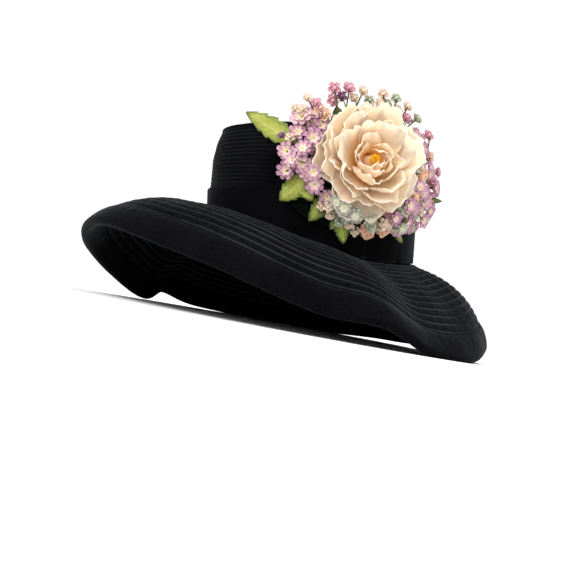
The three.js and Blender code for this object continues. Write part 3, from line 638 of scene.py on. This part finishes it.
def bud_cloth():
    """Buds in five paints chosen by the tint, green at the calyx and deeper at the petals' edges."""
    cloth = Surface("bud_cloth", {"Roughness": 0.7, "Specular IOR Level": 0.25})
    uv, _, along = cloth.places()
    paints = cloth.ramp(cloth.tint(), [(0.0, 242, 228, 204), (0.2, 226, 174, 188), (0.4, 250, 212, 182),
                                       (0.6, 196, 208, 182), (0.82, 150, 112, 142)])
    ends = cloth.ramp(along, [(0.0, 88, 104, 52), (0.12, 160, 164, 104), (0.26, *WHITE), (0.86, *WHITE),
                              (1.0, 226, 202, 200)])
    cloth.dye(cloth.blend(1.0, paints, ends, "MULTIPLY"))
    cloth.bump(cloth.noise(uv, 5, 3, 0.6, (5.0, 1.0, 1.0)), 0.6, 0.0003)
    return cloth.material


def leaf_cloth():
    """Waxed leaf cloth: yellow green along the midrib, deeper green to the edge and the foot, browned at the
    tip, with side veins that slant from the midrib."""
    cloth = Surface("leaf_cloth", {"Roughness": 0.5, "Specular IOR Level": 0.3})
    uv, across, along = cloth.places()
    side = cloth.calc("ABSOLUTE", across)
    mottle = cloth.noise(uv, 5, 4)
    edge = cloth.calc("MULTIPLY_ADD", mottle, 0.8, cloth.calc("MULTIPLY", side, 0.45))
    edge = cloth.calc("MULTIPLY_ADD", cloth.tint(), 0.4, edge)
    body = cloth.ramp(edge, [(0.25, 182, 182, 92), (0.6, 150, 156, 66), (0.95, 72, 96, 38)])
    ends = cloth.ramp(along, [(0.0, 70, 96, 44), (0.3, *WHITE), (0.84, *WHITE), (1.0, 132, 118, 84)])
    cloth.dye(cloth.blend(1.0, body, ends, "MULTIPLY"))
    slant = cloth.calc("MULTIPLY_ADD", side, -1.6, cloth.calc("MULTIPLY", along, 9))
    vein = cloth.step(cloth.calc("PINGPONG", slant, 0.5), 0.0, 0.12)
    height = cloth.calc("MULTIPLY", vein, cloth.step(side, 0.0, 0.1))
    cloth.bump(cloth.calc("MULTIPLY_ADD", mottle, 0.5, height), 0.7, 0.0004)
    return cloth.material


def plain_cloth(name, dark, light, scale, roughness):
    """Cloth or thread mottled between two paints, with a fine weave."""
    cloth = Surface(name, {"Roughness": roughness, "Specular IOR Level": 0.1})
    where = cloth.where()
    cloth.dye(cloth.ramp(cloth.noise(where, scale), [(0.35, *dark), (0.65, *light)]))
    cloth.bump(cloth.noise(where, 1800, 2), 0.5, 0.0003)
    return cloth.material


# Crown
def bearings(count):
    """Bearings round the whole crown, without the closing one."""
    return np.arange(count) * 360 / count


def row_places(turns, rows):
    """Places on the cloth: stitches round the crown, closing column included, and rows of stitching."""
    closed = np.r_[turns, 360.0] / 360 * STITCHES_ROUND
    return np.stack(np.broadcast_arrays(closed[None, :], rows[:, None]), -1)


def groove(rows, depth):
    """Relief of a row-stitched cloth: a valley at each whole row, bulging between two rows."""
    off = np.abs(rows - np.round(rows))
    return -depth * np.exp(-(off / GROOVE_HALF_WIDTH) ** 2)


def off_corsage(bearing):
    """Cubic step from 0 behind the corsage to 1 clear of it."""
    return smooth(np.abs(off_bearing(bearing, PAD["bearing"])), CROWN_WAVES["from"], CROWN_WAVES["to"])


def slump(bearing, height):
    """How far the crown leans out: slow random waves that grow with height and fade behind the corsage."""
    waves = CROWN_WAVES["lean"] * wobble(bearing, 14, 2, 4)
    return waves * smooth(height, BAND_TOP, TIP_SEAM) * off_corsage(bearing)


def sag(bearing, share):
    """How far the top edge sinks or rises: slow random waves that fade toward the foot and the corsage."""
    return CROWN_WAVES["sag"] * wobble(bearing, 17, 2, 3) * off_corsage(bearing) * share ** 2


def crown_side(material):
    """Crown's wall: the outer face follows the profile, leaned by the slump and sunk at each row of
    stitching, and the inner one lies a wall behind it."""
    turns = bearings(ROUND["crown"])
    fractions = np.linspace(0, 1, 100)
    foot = around("seam", turns) + BRIM_WALL / 2 + GAP
    heights = foot + (TIP_SEAM - foot) * fractions[:, None]
    rows = (heights.mean(1) - BAND_TOP) / CROWN_ROW
    pucker = CROWN_PUCKER * wobble(turns, 4, 60, 30) * np.sin(np.pi * (rows[:, None] % 1)) ** 2
    relief = groove(rows[:, None] + 0.06 * wobble(turns, 5, 5, 12), CROWN_GROOVE) + pucker
    relief = relief * smooth(heights, BAND_TOP + 0.5, BAND_TOP + 3)
    relief = relief * smooth(-heights, -TIP_SEAM, 1 - TIP_SEAM)
    lean = slump(turns, heights)
    lifted = heights + sag(turns, np.clip((heights - BAND_TOP) / (TIP_SEAM - BAND_TOP), 0, 1))
    outer = oval_point(turns, crown_share(heights), relief + lean, lifted)
    back = slice(None, None, -12)
    inner = oval_point(turns, crown_share(heights[back]), lean[back] - WALL, lifted[back])
    rings = np.concatenate([outer, inner])
    places = row_places(turns, np.r_[rows, rows[back]])
    wall = shell(rings, places, wrapped=True)
    dress("velvet_crown_side", [wall], [material], ["crown_side"])


def crown_tip(material):
    """Crown's top: oval rings shrink to the middle, sunk at each row of stitching, with a rounded edge over
    the seam that leans and sags as the side's top edge does."""
    turns = bearings(ROUND["crown"])
    shares = np.linspace(0, 0.99 * TIP_SHARE, 64)
    rows = (TIP_SHARE - shares) * HEAD_HALF_WIDTH / (1.3 * CROWN_ROW)
    part = (shares / TIP_SHARE)[:, None]
    lift = np.interp(shares, CROWN_TIP["share"], CROWN_TIP["height"])[:, None] + sag(turns, part)
    lean = slump(turns, TIP_SEAM) * part ** 2
    relief = groove(rows[:, None] + 0.08 * wobble(turns, 9, 3, 9), CROWN_GROOVE)
    top = oval_point(turns, shares[:, None], lean, lift + relief * smooth(shares, 0, 0.1)[:, None])
    bend = np.radians(np.array([70.0, 35.0, 0.0, -35.0, -70.0]))[:, None]
    middle = CROWN_TIP["height"][-1] - WALL / 2 + sag(turns, 1.0)
    edge = oval_point(turns, TIP_SHARE, lean[-1] - 0.3 + 0.3 * np.cos(bend), middle + WALL / 2 * np.sin(bend))
    back = slice(None, None, -8)
    under = oval_point(turns, shares[back, None], lean[back], lift[back] - WALL)
    pole = oval_point(turns, 0.0, 0.0, CROWN_TIP["height"][0] - WALL)
    rings = np.concatenate([top, edge, under, pole[None]])
    counts = np.r_[rows, np.full(len(edge), rows[-1]), rows[back], rows[0]]
    dome = shell(rings, row_places(turns, counts))
    dress("velvet_crown_tip", [dome], [material], ["crown_tip"])


def hat_band(material):
    """Smooth band: a rounded strip round the crown, with short soft creases that rise from its foot."""
    turns = bearings(ROUND["band"])
    foot = around("seam", turns) + BRIM_WALL / 2 + BAND_FOOT
    shares = np.linspace(0, 1, 40)
    heights = foot + (BAND_TOP - foot) * shares[:, None]
    relief = 0.3 * wobble(turns, 11, 3, 8) * np.sin(np.pi * shares[:, None])
    above = heights - foot
    for bearing, reach, depth in BAND_CREASES:
        off = off_bearing(turns - bearing, CREASE["slant"] * above) / CREASE["half_width"]
        relief = relief - CREASE["depth"] * depth * np.exp(-off * off) * np.exp(-(above / reach) ** 2)
    round_off = 0.8 * (1 - np.sqrt(1 - np.clip((shares[:, None] - 0.965) / 0.036, 0, 1) ** 2))
    outer = oval_point(turns, 1.0, relief - round_off, heights)
    inner = oval_point(turns, SIDE_SHARE, GAP, heights[::-8])
    rings = np.concatenate([outer, inner])
    dress("velvet_band", [shell(rings, wrapped=True)], [material], ["hat_band"])


# Brim
def brim(material):
    """Brim cloth: upper and lower faces half a wall off its middle, sunk at each row of stitching that runs
    round it, puckered between the rows, and closed by a lip at the crown."""
    turns = bearings(ROUND["brim"])
    end = around("width", turns) - BINDING_WIDTH - GAP
    shares = np.linspace(0, 1, 80)[:, None]
    arcs = 1 + (end - 1) * shares
    rows = end.mean() * shares / BRIM_ROW
    drift = 0.07 * wobble(turns, 21, 4, 14)
    pucker = BRIM_PUCKER * wobble(turns, 22, 60, 40) * np.sin(np.pi * (rows + drift)) ** 2
    swell = BRIM_SWELL * wobble(turns, 23, 9, 12) * np.sin(np.pi * shares)
    relief = (groove(rows + drift, BRIM_GROOVE) + pucker) * smooth(rows, 0, 1.5) * smooth(end - arcs, 1.5, 4)
    top = brim_point(turns, arcs, BRIM_WALL / 2 + relief + swell)
    below = brim_point(turns, arcs, -BRIM_WALL / 2 - relief + swell)[::-1]
    lip = (SIDE_SHARE - 1) * HEAD_HALF_WIDTH - WALL
    seam = around("seam", turns)
    inside = oval_point(turns, 1.0, lip, seam + np.array([[-0.5], [0.5]]) * BRIM_WALL)
    rings = np.concatenate([top, below, inside])
    counts = np.r_[rows[:, 0], rows[::-1, 0], 0.5, 0.5]
    cloth = shell(rings, row_places(turns, counts), wrapped=True)
    dress("velvet_brim", [cloth], [material], ["brim"])


def brim_binding(material):
    """Padded edge: its half thickness swells from the seam to a round nose, pulled in by small puckers near
    the seam, and two thin lips reach over the brim's edge."""
    turns = bearings(ROUND["edge"])
    width = around("width", turns)
    centre = width - BINDING_HALF_FULL
    start = width - BINDING_WIDTH
    shares = np.linspace(0, 1, 16)[:, None]
    arcs = start + (centre - start) * shares
    half = BINDING_HALF_START + (BINDING_HALF_FULL - BINDING_HALF_START) * np.sin(np.pi / 2 * shares) ** 0.7
    near_seam = 3 * shares * np.exp(-(shares / 0.3) ** 2)
    deep = EDGE_PUCKERS["deep"] * np.clip(wobble(turns, 32, 25, 20), 0, None)
    pucker = (EDGE_PUCKERS["fine"] * wobble(turns, 31, 60, 50) - deep) * near_seam
    soft = EDGE_PUCKERS["slow"] * wobble(turns, 33, 12, 16) * np.sin(np.pi * shares * 0.8)
    bend = np.linspace(np.pi / 2, -np.pi / 2, 15)[1:-1, None]
    out, up = BINDING_HALF_FULL * np.cos(bend), BINDING_HALF_FULL * np.sin(bend)
    lip, inside = start - BINDING_LIP["reach"], BINDING_LIP["inside"]
    rings = np.concatenate([
        brim_point(turns, lip, BINDING_HALF_START - 0.1)[None],
        brim_point(turns, arcs, half + pucker + soft),
        brim_point(turns, centre + out, up + soft[-1]),
        brim_point(turns, arcs, -half - pucker + soft)[::-1],
        brim_point(turns, lip, 0.1 - BINDING_HALF_START)[None],
        brim_point(turns, lip, -inside)[None],
        brim_point(turns, start - GAP + BINDING_LIP["clear"], -inside)[None],
        brim_point(turns, start - GAP + BINDING_LIP["clear"], inside)[None],
        brim_point(turns, lip, inside)[None],
    ])
    roll = shell(rings, wrapped=True)
    piece = dress("velvet_binding", [roll], [material], ["brim_binding"])


# Corsage places
def cloth_point(bearing, height, offset):
    """Outermost cloth of the crown, bridging the step over the band's top edge, moved off it."""
    blend = smooth(height, BAND_TOP + PAD_BRIDGE[0], BAND_TOP + PAD_BRIDGE[1])
    return oval_point(bearing, 1 + (crown_share(height) - 1) * blend, offset, height)


def seat_point(bearing, height, clearance):
    """Place clear of the pad's outer face."""
    return cloth_point(bearing, height, PAD["clear"] + PAD["wall"] + clearance)


def head_point(bearing, height, stand_off):
    """Place of a head off the crown, and above its tip in line with the tip's edge."""
    return oval_point(bearing, crown_share(height), stand_off, height)


def stem_line(foot, head, swell):
    """Stem's three control points: it leaves the pad partly outward and partly toward its head."""
    normal = outward(foot[0])
    toward = head - seat_point(*foot, 0)
    bend = toward * (0.5 - 0.5 * swell) + normal * swell * np.linalg.norm(toward)
    tilt = math.acos(np.clip(unit(bend) @ normal, -1, 1))
    start = seat_point(*foot, SEAT_GAP + STEM_SOLID * math.sin(tilt))
    return np.stack([start, start + bend, head])


def bezier(controls, t):
    """Quadratic curve: the controls weighed by (1-t)^2, 2t(1-t) and t^2."""
    t = np.asarray(t, float)[..., None]
    return (1 - t) ** 2 * controls[0] + 2 * t * (1 - t) * controls[1] + t * t * controls[2]


def spokes(along, count):
    """Unit vectors across each direction, all the way round it. They start toward +Z, or toward +X if the
    directions start upright."""
    steep = abs(along.reshape(-1, 3)[0, 2]) > 0.9
    reference = np.array([1.0, 0.0, 0.0] if steep else [0.0, 0.0, 1.0])
    side = unit(reference - along * (along @ reference)[..., None])
    up = np.cross(along, side)
    angle = np.radians(bearings(count))[:, None]
    return side[..., None, :] * np.cos(angle) + up[..., None, :] * np.sin(angle)


def tube(path, radii, sides=7, **kind):
    """Round body along a path: a ring of each radius across its direction, closed to points at the ends."""
    across = spokes(unit(np.gradient(path, axis=0)), sides)
    rings = path[:, None] + across * np.asarray(radii)[:, None, None]
    first, last = (np.repeat(path[i][None, None], sides, 1) for i in (0, -1))
    return shell(np.concatenate([first, rings, last]), **kind)


# Small flowers
def cleared(head, radius):
    """A small flower's head moved straight away from the large flower's axis until it is past the petals."""
    local = (head - SEAT) @ TURN
    reach = math.hypot(local[0], local[1])
    wanted = PEONY["clear_reach"] + 0.5 * radius
    if reach < wanted:
        local[:2] *= wanted / reach
    return on_peony(local)


def planted(foot, bearing, height, stand_off, swell, seed, clear=0.0):
    """Head, stem and heading of a small flower, its head first cleared if a radius to clear is given. It
    looks out from the crown, away from the large flower, along its stem and a bit by chance."""
    head = head_point(bearing, height, stand_off)
    if clear:
        head = cleared(head, clear)
    stem = stem_line(foot, head, swell)
    chance = np.random.default_rng(seed).uniform(-1, 1, 3)
    out = outward(FLORETS_FACE + 0.15 * (bearing - FLORETS_FACE))
    return head, stem, unit(out + 0.25 * unit(head - SEAT) + 0.15 * unit(stem[2] - stem[1]) + 0.3 * chance)


def floret_shell(centre, direction, radius, petals, seed, cup, back=0.0, notch=0.34, rings=7, tint=0.5):
    """Open floret: a disc with round-ended petals, a place across a petal going from 0 on its middle to 1 in
    the notch, cupped with the square of the distance from the eye and lifted by each petal's own amount."""
    columns = FLORET_COLUMNS * petals
    across = np.abs(2 * (np.arange(columns) % FLORET_COLUMNS) / FLORET_COLUMNS - 1)
    reach = np.linspace(0, 1, rings)[:, None]
    rng = np.random.default_rng(seed)
    own = np.repeat(rng.uniform(-1, 1, petals), FLORET_COLUMNS) * (1 - across ** 2)
    out = radius * reach * (1 - notch * across ** 4 * reach + 0.07 * own)
    lift = 0.10 * own * reach ** 2 + 0.08 * (across ** 2 - 0.4) * reach
    rise = radius * (cup * reach ** 2 - 0.25 * cup * reach ** 6 + lift) - back
    front = centre + spokes(direction, columns) * out[..., None] + direction * rise[..., None]
    behind = front - direction * FLORET_THICKNESS
    closed = np.r_[across, across[0]]
    places = np.stack(np.broadcast_arrays(closed[None, :], np.r_[reach, reach[::-1]]), -1)
    return shell(np.concatenate([front, behind[::-1]]), places, tint=tint)


def bead(centre, direction, radius, half_length, lobes=0, twist=0.0, rows=9, sides=12, **kind):
    """Egg about a direction: radius follows the sine and place the cosine of an angle, with twisted lobes."""
    t = np.linspace(0, np.pi, rows)[:, None]
    angle = np.radians(bearings(sides))
    ridge = 1 + LOBE_DEPTH * np.cos(lobes * angle + twist * t) * np.sin(t) if lobes else 1.0
    out = radius * np.sin(t) ** 0.8 * ridge
    rise = -half_length * np.cos(t)
    rings = centre + spokes(direction, sides) * out[..., None] + direction * rise[..., None]
    along = np.broadcast_to(t / np.pi, (rows, sides + 1))
    places = np.stack([np.broadcast_to(np.linspace(0, 1, sides + 1), along.shape), along], -1)
    return shell(rings, places, **kind)


def lilac_shells(head, direction, radius, seed):
    """Lilac floret: two layers of petals and an eye, more or less cupped."""
    tint, cup = np.random.default_rng(seed).uniform((0.1, 0.15), (0.9, 0.6))
    return [
        floret_shell(head, direction, 1.22 * radius, 8, seed, cup, tint=tint),
        floret_shell(head, direction, 0.8 * radius, 6, seed + 7, cup + 0.3, back=-0.3, tint=tint - 0.2),
        bead(head + direction * 0.7, direction, 0.14 * radius, 0.12 * radius, material=2),
    ]


def blossom(name, row, seed, cloth, stem, eye):
    """Lilac or sage blossom on the end of its stem."""
    kind, bearing, height, stand_off, radius, *foot = row
    head, line, direction = planted(foot, bearing, height, stand_off, STEM_SWELL, seed)
    t = np.linspace(0, 1, 12)
    radii = STEM_RADIUS + 0.5 * smooth(t, 0.8, 1.0)
    shells = lilac_shells(head, direction, radius, seed)
    shells.append(tube(bezier(line, t), radii, material=1))
    dress("cloth_" + name, shells, [cloth, stem, eye], [name])


def bud_shells(foot, item, swell, seed, stem=0.85 * STEM_RADIUS, clear=0.0):
    """Bud on its stem: a lobed egg of folded petals inside a bell of torn ones."""
    bearing, height, stand_off, radius, colour = item
    head, line, direction = planted(foot, bearing, height, stand_off, swell, seed, clear)
    tint = BUD_TINTS[colour]
    base = head - direction * radius
    return [
        tube(bezier(line, np.linspace(0, 0.97, 12)), np.full(12, stem), material=1),
        bead(base, direction, 0.5 * radius, 0.9 * radius, lobes=4, twist=2.2, rows=8, sides=12, tint=tint),
        floret_shell(base, direction, 1.5 * radius, 5, seed, 0.75, notch=0.5, rings=6, tint=tint),
        floret_shell(base, direction, 1.15 * radius, 4, seed + 3, 1.3, notch=0.5, rings=6, tint=tint),
        bead(base + direction * radius, direction, 0.32 * radius, 0.6 * radius, lobes=3, twist=2, tint=tint),
    ]


def spray(name, foot, swell, buds, cloth, stem):
    """Spray: its buds' stems leave the pad at one foot."""
    shells = []
    for i, item in enumerate(buds):
        shells += bud_shells(foot, item, swell, 400 + 7 * i + len(name))
    dress("cloth_spray_" + name, shells, [cloth, stem], ["spray_" + name])


def small_foot(bearing, height):
    """Foot of a small flower's stem, a third of the way back to the pad's middle and on the pad."""
    return (bearing + 0.33 * (PAD["bearing"] - bearing), height + 0.33 * (PAD["height"] - height))


def small_flowers(cloths, stem, eye):
    """The small flowers between the others, joined by kind: lilac and sage florets, and buds in bells."""
    joined = {"lilac": [], "sage": [], "bud": []}
    for i, (kind, bearing, height, stand_off, radius) in enumerate(SMALL_FLOWERS):
        seed = 700 + 11 * i
        foot = small_foot(bearing, height)
        if kind in BUD_TINTS:
            item = (bearing, height, stand_off, radius, kind)
            joined["bud"] += bud_shells(foot, item, 0.4, seed, THIN_STEM, radius)
            continue
        head, line, direction = planted(foot, bearing, height, stand_off, STEM_SWELL, seed, radius)
        joined[kind] += lilac_shells(head, direction, radius, seed)
        path = bezier(line, np.linspace(0, 1, 9))
        joined[kind].append(tube(path, np.full(9, THIN_STEM), 5, material=1))
    for kind, shells in joined.items():
        dress("cloth_small_" + kind, shells, [cloths[kind], stem, eye])


# Leaves
def leaf_shell(row):
    """Leaf from foot to tip: half width follows the sine of its length with teeth along both edges, cupped
    across, bowed along, and a little waved."""
    foot, tip, stand_off, half_width, tint = row
    start = seat_point(*foot, SEAT_GAP + LEAF_WALL / 2 + LEAF_CUP * LEAF_FOOT * half_width)
    end = head_point(*tip, stand_off)
    out = outward((foot[0] + tip[0]) / 2)
    across = unit(np.cross(end - start, out))
    length = np.linalg.norm(end - start)
    u, v, places = sheet_places(67, 13)
    saw = LEAF_TEETH["depth"] * ((LEAF_TEETH["count"] * u) % 1) ** 1.5
    teeth = 1 - saw * smooth(u, 0.12, 0.25) * smooth(-u, -0.97, -0.8) * np.abs(v) ** 4
    width = half_width * np.maximum(LEAF_FOOT, np.clip(np.sin(np.pi * u ** 0.9), 0, 1) ** 0.75) * teeth
    wave = LEAF_WAVE * half_width * np.sin(9 * u + 2 * v)
    bow = LEAF_BOW * length * np.sin(np.pi * u) - LEAF_CUP * width * v * v + wave
    points = start + (end - start) * u[..., None] + across * (v * width)[..., None] + out * bow[..., None]
    return sheet_shell(points, places, LEAF_WALL, tint=tint)


# Peony
def peony_frame():
    """Seat and turn of the large flower, whose own +Z is its face."""
    face = heading(PEONY["facing_bearing"], PEONY["facing_rise"])
    tilt = math.acos(face @ outward(PEONY["bearing"]))
    seat = seat_point(PEONY["bearing"], PEONY["height"], GAP + PEONY["core_radius"] * math.sin(tilt))
    axis = unit(np.cross((0.0, 0.0, 1.0), face))
    return seat, turn_matrix(axis, math.acos(face[2]))


SEAT, TURN = peony_frame()


def on_peony(points):
    """The flower's own frame to the upright hat's."""
    return points @ TURN.T + SEAT


def petal_shell(ring, number, seed):
    """Silk petal: a quadratic line from the core over the belly to the rim, swept over the petal's angle,
    rounded at its corners, one edge tucked under the next petal, waved more toward the rim, which rolls over
    a little. Each petal has its own reach, tilt, waves and roll. The petals toward one side fold in over the
    heart, by the cosine of their angle from it, and those across from them open."""
    rng = np.random.default_rng(seed)
    u, v, places = sheet_places(32, 33)
    middle = math.radians(ring["turn"] + 360 * number / ring["count"] + rng.uniform(-6, 6))
    half = math.radians(180 / ring["count"]) * ring["spread"] * rng.uniform(0.92, 1.05)
    scale = rng.uniform(0.92, 1.04)
    tilt = rng.uniform(-2.0, 1.5)
    start = (PEONY["core_radius"] + GAP + 0.5, ring["base"])
    belly = (ring["belly"][0] * scale, ring["belly"][1])
    fold = ring["fold"] * math.cos(middle - math.radians(FOLD_TOWARD))
    rim = (ring["rim"][0] * scale * (1 - fold), ring["rim"][1] + tilt + FOLD_RISE * fold)
    controls = np.array([start, belly, rim], float)
    phase = rng.uniform(0, 2 * np.pi, 5)
    ragged = 0.05 * np.sin(4 * v + phase[0]) + 0.03 * np.sin(11 * v + phase[1]) + 0.012 * np.sin(27 * v)
    reach = u * (1 - (0.05 * v ** 2 + 0.2 * v ** 6) * u + ragged * u ** 4)
    line = bezier(controls, reach)
    inner, outer = controls[1] - controls[0], controls[2] - controls[1]
    slope = unit((1 - reach)[..., None] * inner + reach[..., None] * outer)
    slow = np.sin(3.2 * v + phase[2]) + 0.5 * np.sin(7.5 * v + phase[3]) + 0.2 * np.sin(15 * v + phase[0])
    wave = 0.5 * ring["wave"] * u ** 2.5 * slow
    crimp = PETAL["crimp"] * ring["wave"] * u * np.sin(19 * v + phase[4] + 3 * u)
    tuck = PETAL["tuck"] * v * smooth(u, 0.1, 0.6)
    roll = PETAL["roll"] * smooth(u, 0.8, 1.0) ** 2 * rng.uniform(-0.4, 1.2)
    inward = wave + crimp + tuck + PETAL["cup"] * v * v * u - roll
    out = line[..., 0] - slope[..., 1] * inward
    up = line[..., 1] + slope[..., 0] * inward
    angle = middle + half * (1 - PETAL["narrowing"] * u ** 5) * v
    points = np.stack([out * np.cos(angle), out * np.sin(angle), up], -1)
    return sheet_shell(on_peony(points), places, PETAL["thickness"], tint=ring["tint"])


def stamen_shells():
    """Tuft of stamens on a low mound: fine threads spread by the golden angle, each with a small head."""
    rng = np.random.default_rng(5)
    shells = [bead(on_peony(np.array([0, 0, PEONY["core_height"] + 1.4])), TURN[:, 2], 2.6, 1.8)]
    for i in range(STAMENS["count"]):
        angle = STAMENS["golden_angle"] * i
        spread = 0.4 + 3.4 * math.sqrt(i / STAMENS["count"])
        lean = np.array([math.cos(angle), math.sin(angle), 0])
        foot = lean * 0.5 * spread + (0, 0, PEONY["core_height"] + 0.8)
        head = lean * spread + (0, 0, PEONY["core_height"] + 6.4 - 0.2 * spread + rng.uniform(-0.6, 0.4))
        path = on_peony(np.linspace(foot, head, 4))
        shells.append(tube(path, np.full(4, STAMENS["thread"]), sides=4))
        shells.append(bead(path[-1], unit(path[-1] - path[0]), 0.5, 0.95, rows=5, sides=6))
    return shells


def peony(cloth, gold):
    """The large flower: a core, rings of petals with the rings that fill them, and golden stamens."""
    for r, row in enumerate(PETAL_RINGS + FILLING_RINGS):
        ring = dict(zip(RING_COLUMNS, row))
        for i in range(ring["count"]):
            name = f"petal_{ring['name']}_{i + 1}"
            stands_for = [name] if row in PETAL_RINGS else []
            dress("silk_" + name, [petal_shell(ring, i, 100 * r + i)], [cloth], stands_for)
    half = PEONY["core_height"] / 2
    middle = on_peony(np.array([0, 0, half]))
    # A tint of 0.9 paints the core deep in the heart's painted shade.
    core = bead(middle, TURN[:, 2], PEONY["core_radius"], half, rows=17, sides=24, tint=0.9)
    dress("silk_core", [core], [cloth], ["peony_core"])
    dress("silk_stamens", stamen_shells(), [gold], ["peony_stamens"])


def corsage_pad(cloth):
    """Backing: a rounded patch that follows the crown, its edge a little frilled."""
    u, v, places = sheet_places(91, 41)
    x = 2 * u - 1
    half = PAD["half_height"] * np.sqrt(1 - PAD["taper"] * x ** 4)
    frill = PAD["frill"] * np.sin(40 * u + 3 * v) * v ** 6
    off = PAD["clear"] + PAD["wall"] / 2 + frill
    points = cloth_point(PAD["bearing"] + PAD["half_span"] * x, PAD["height"] + half * v, off)
    dress("cloth_pad", [sheet_shell(points, places, PAD["cloth"])], [cloth], ["corsage_pad"])


# The whole hat
def build_hat():
    """Crown, band, brim and padded edge."""
    # Patch paints: painted sheen, lightest on the brim, less on the padded edge; row paints: painted
    # highlight.
    crown_pile = velvet("velvet_crown_rows", (7, 7, 9), (17, 18, 21))
    crown_side(crown_pile)
    crown_tip(crown_pile)
    hat_band(velvet("velvet_smooth", (6, 7, 8)))
    brim(velvet("velvet_brim_rows", (18, 19, 21), (36, 39, 42)))
    brim_binding(velvet("velvet_edge", (12, 13, 14)))


def build_corsage():
    """Backing, peony, blossoms, sprays, small flowers and leaves."""
    stem = plain_cloth("stem_wire", (66, 58, 30), (112, 104, 54), 300, 0.6)
    eye = plain_cloth("floret_eye", (196, 186, 86), (222, 214, 132), 900, 0.7)
    gold = plain_cloth("stamen_gold", (224, 152, 18), (250, 198, 60), 800, 0.55)
    # Painted shade in the petal silk: orange and peach at the feet, cream at the rims.
    cream = silk("petal_silk", [(0.0, 244, 158, 66), (0.22, 247, 194, 134), (0.5, 246, 213, 176),
                                (1.0, 246, 221, 192)])
    cloths = {
        "lilac": floret_cloth("lilac_cloth", [
            (0.0, 196, 190, 98), (0.16, 230, 216, 160), (0.28, 240, 218, 200), (0.6, 230, 198, 194),
            (0.85, 200, 156, 172), (1.0, 154, 108, 140)]),
        "sage": floret_cloth("sage_cloth", [
            (0.0, 190, 190, 120), (0.25, 236, 232, 208), (0.7, 208, 206, 188), (1.0, 140, 146, 134)]),
        "bud": bud_cloth(),
    }
    leaf_green = leaf_cloth()
    corsage_pad(plain_cloth("pad_cloth", (1, 3, 1), (3, 5, 3), 160, 1.0))
    peony(cream, gold)
    counts = {"lilac": 0, "sage": 0}
    for number, row in enumerate(BLOSSOMS):
        kind = row[0]
        counts[kind] += 1
        blossom(f"{kind}_{counts[kind]}", row, 200 + 10 * number, cloths[kind], stem, eye)
    for name, foot, swell, items in SPRAYS:
        spray(name, foot, swell, items, cloths["bud"], stem)
    small_flowers(cloths, stem, eye)
    for number, row in enumerate(LEAVES, 1):
        dress(f"cloth_leaf_{number}", [leaf_shell(row)], [leaf_green], [f"leaf_{number}"])
    dress("cloth_back_leaves", [leaf_shell(row) for row in BACK_LEAVES], [leaf_green])


# Studio
def studio_floor():
    """Pale floor: one wide flat sheet."""
    h = FLOOR_HALF
    mesh = bpy.data.meshes.new("studio_floor")
    mesh.from_pydata([(-h, -h, 0), (h, -h, 0), (h, h, 0), (-h, h, 0)], [], [(0, 1, 2, 3)])
    paper = Surface("floor_paper", {"Base Color": (0.95, 0.95, 0.95, 1), "Roughness": 0.95,
                                    "Specular IOR Level": 0.05})
    mesh.materials.append(paper.material)
    floor = bpy.data.objects.new("studio_floor", mesh)
    bpy.context.scene.collection.objects.link(floor)


def aimed(name, data, azimuth, elevation, distance, aim, roll=0.0):
    """Lamp or camera at an azimuth, elevation and distance from its aim, facing it, rolled about its view."""
    back = Vector(heading(azimuth, elevation))
    made = bpy.data.objects.new(name, data)
    made.location = Vector(aim) + back * distance
    made.rotation_mode = "QUATERNION"
    made.rotation_quaternion = Quaternion(back, math.radians(roll)) @ (-back).to_track_quat("-Z", "Y")
    bpy.context.scene.collection.objects.link(made)
    return made


def studio_lights():
    """White world, a large key from the upper left and a light above and behind."""
    world = bpy.data.worlds.new("studio")
    world.use_nodes = True
    sky = world.node_tree.nodes["Background"].inputs
    sky["Color"].default_value = (1, 1, 1, 1)
    sky["Strength"].default_value = SKY_STRENGTH
    bpy.context.scene.world = world
    for name, (azimuth, elevation, distance, size, power) in LAMPS.items():
        lamp = bpy.data.lights.new(name, "AREA")
        lamp.shape = "DISK"
        lamp.size = size
        lamp.energy = power
        aimed(name, lamp, azimuth, elevation, distance, LAMP_AIM)
    bpy.context.scene.view_settings.view_transform = "Standard"


def photo_camera():
    """Camera at the photograph's azimuth, just above the floor, rolled as the hat leans in the photograph."""
    lens = bpy.data.cameras.new("camera")
    lens.sensor_width = SENSOR
    lens.lens = SENSOR * CAMERA["distance"] / CAMERA["frame_width"]
    lens.clip_start, lens.clip_end = 0.01, 50
    placing = (CAMERA[key] for key in ("azimuth", "elevation", "distance", "aim", "roll"))
    bpy.context.scene.camera = aimed("camera", lens, *placing)


build_hat()
build_corsage()
studio_floor()
studio_lights()
photo_camera()
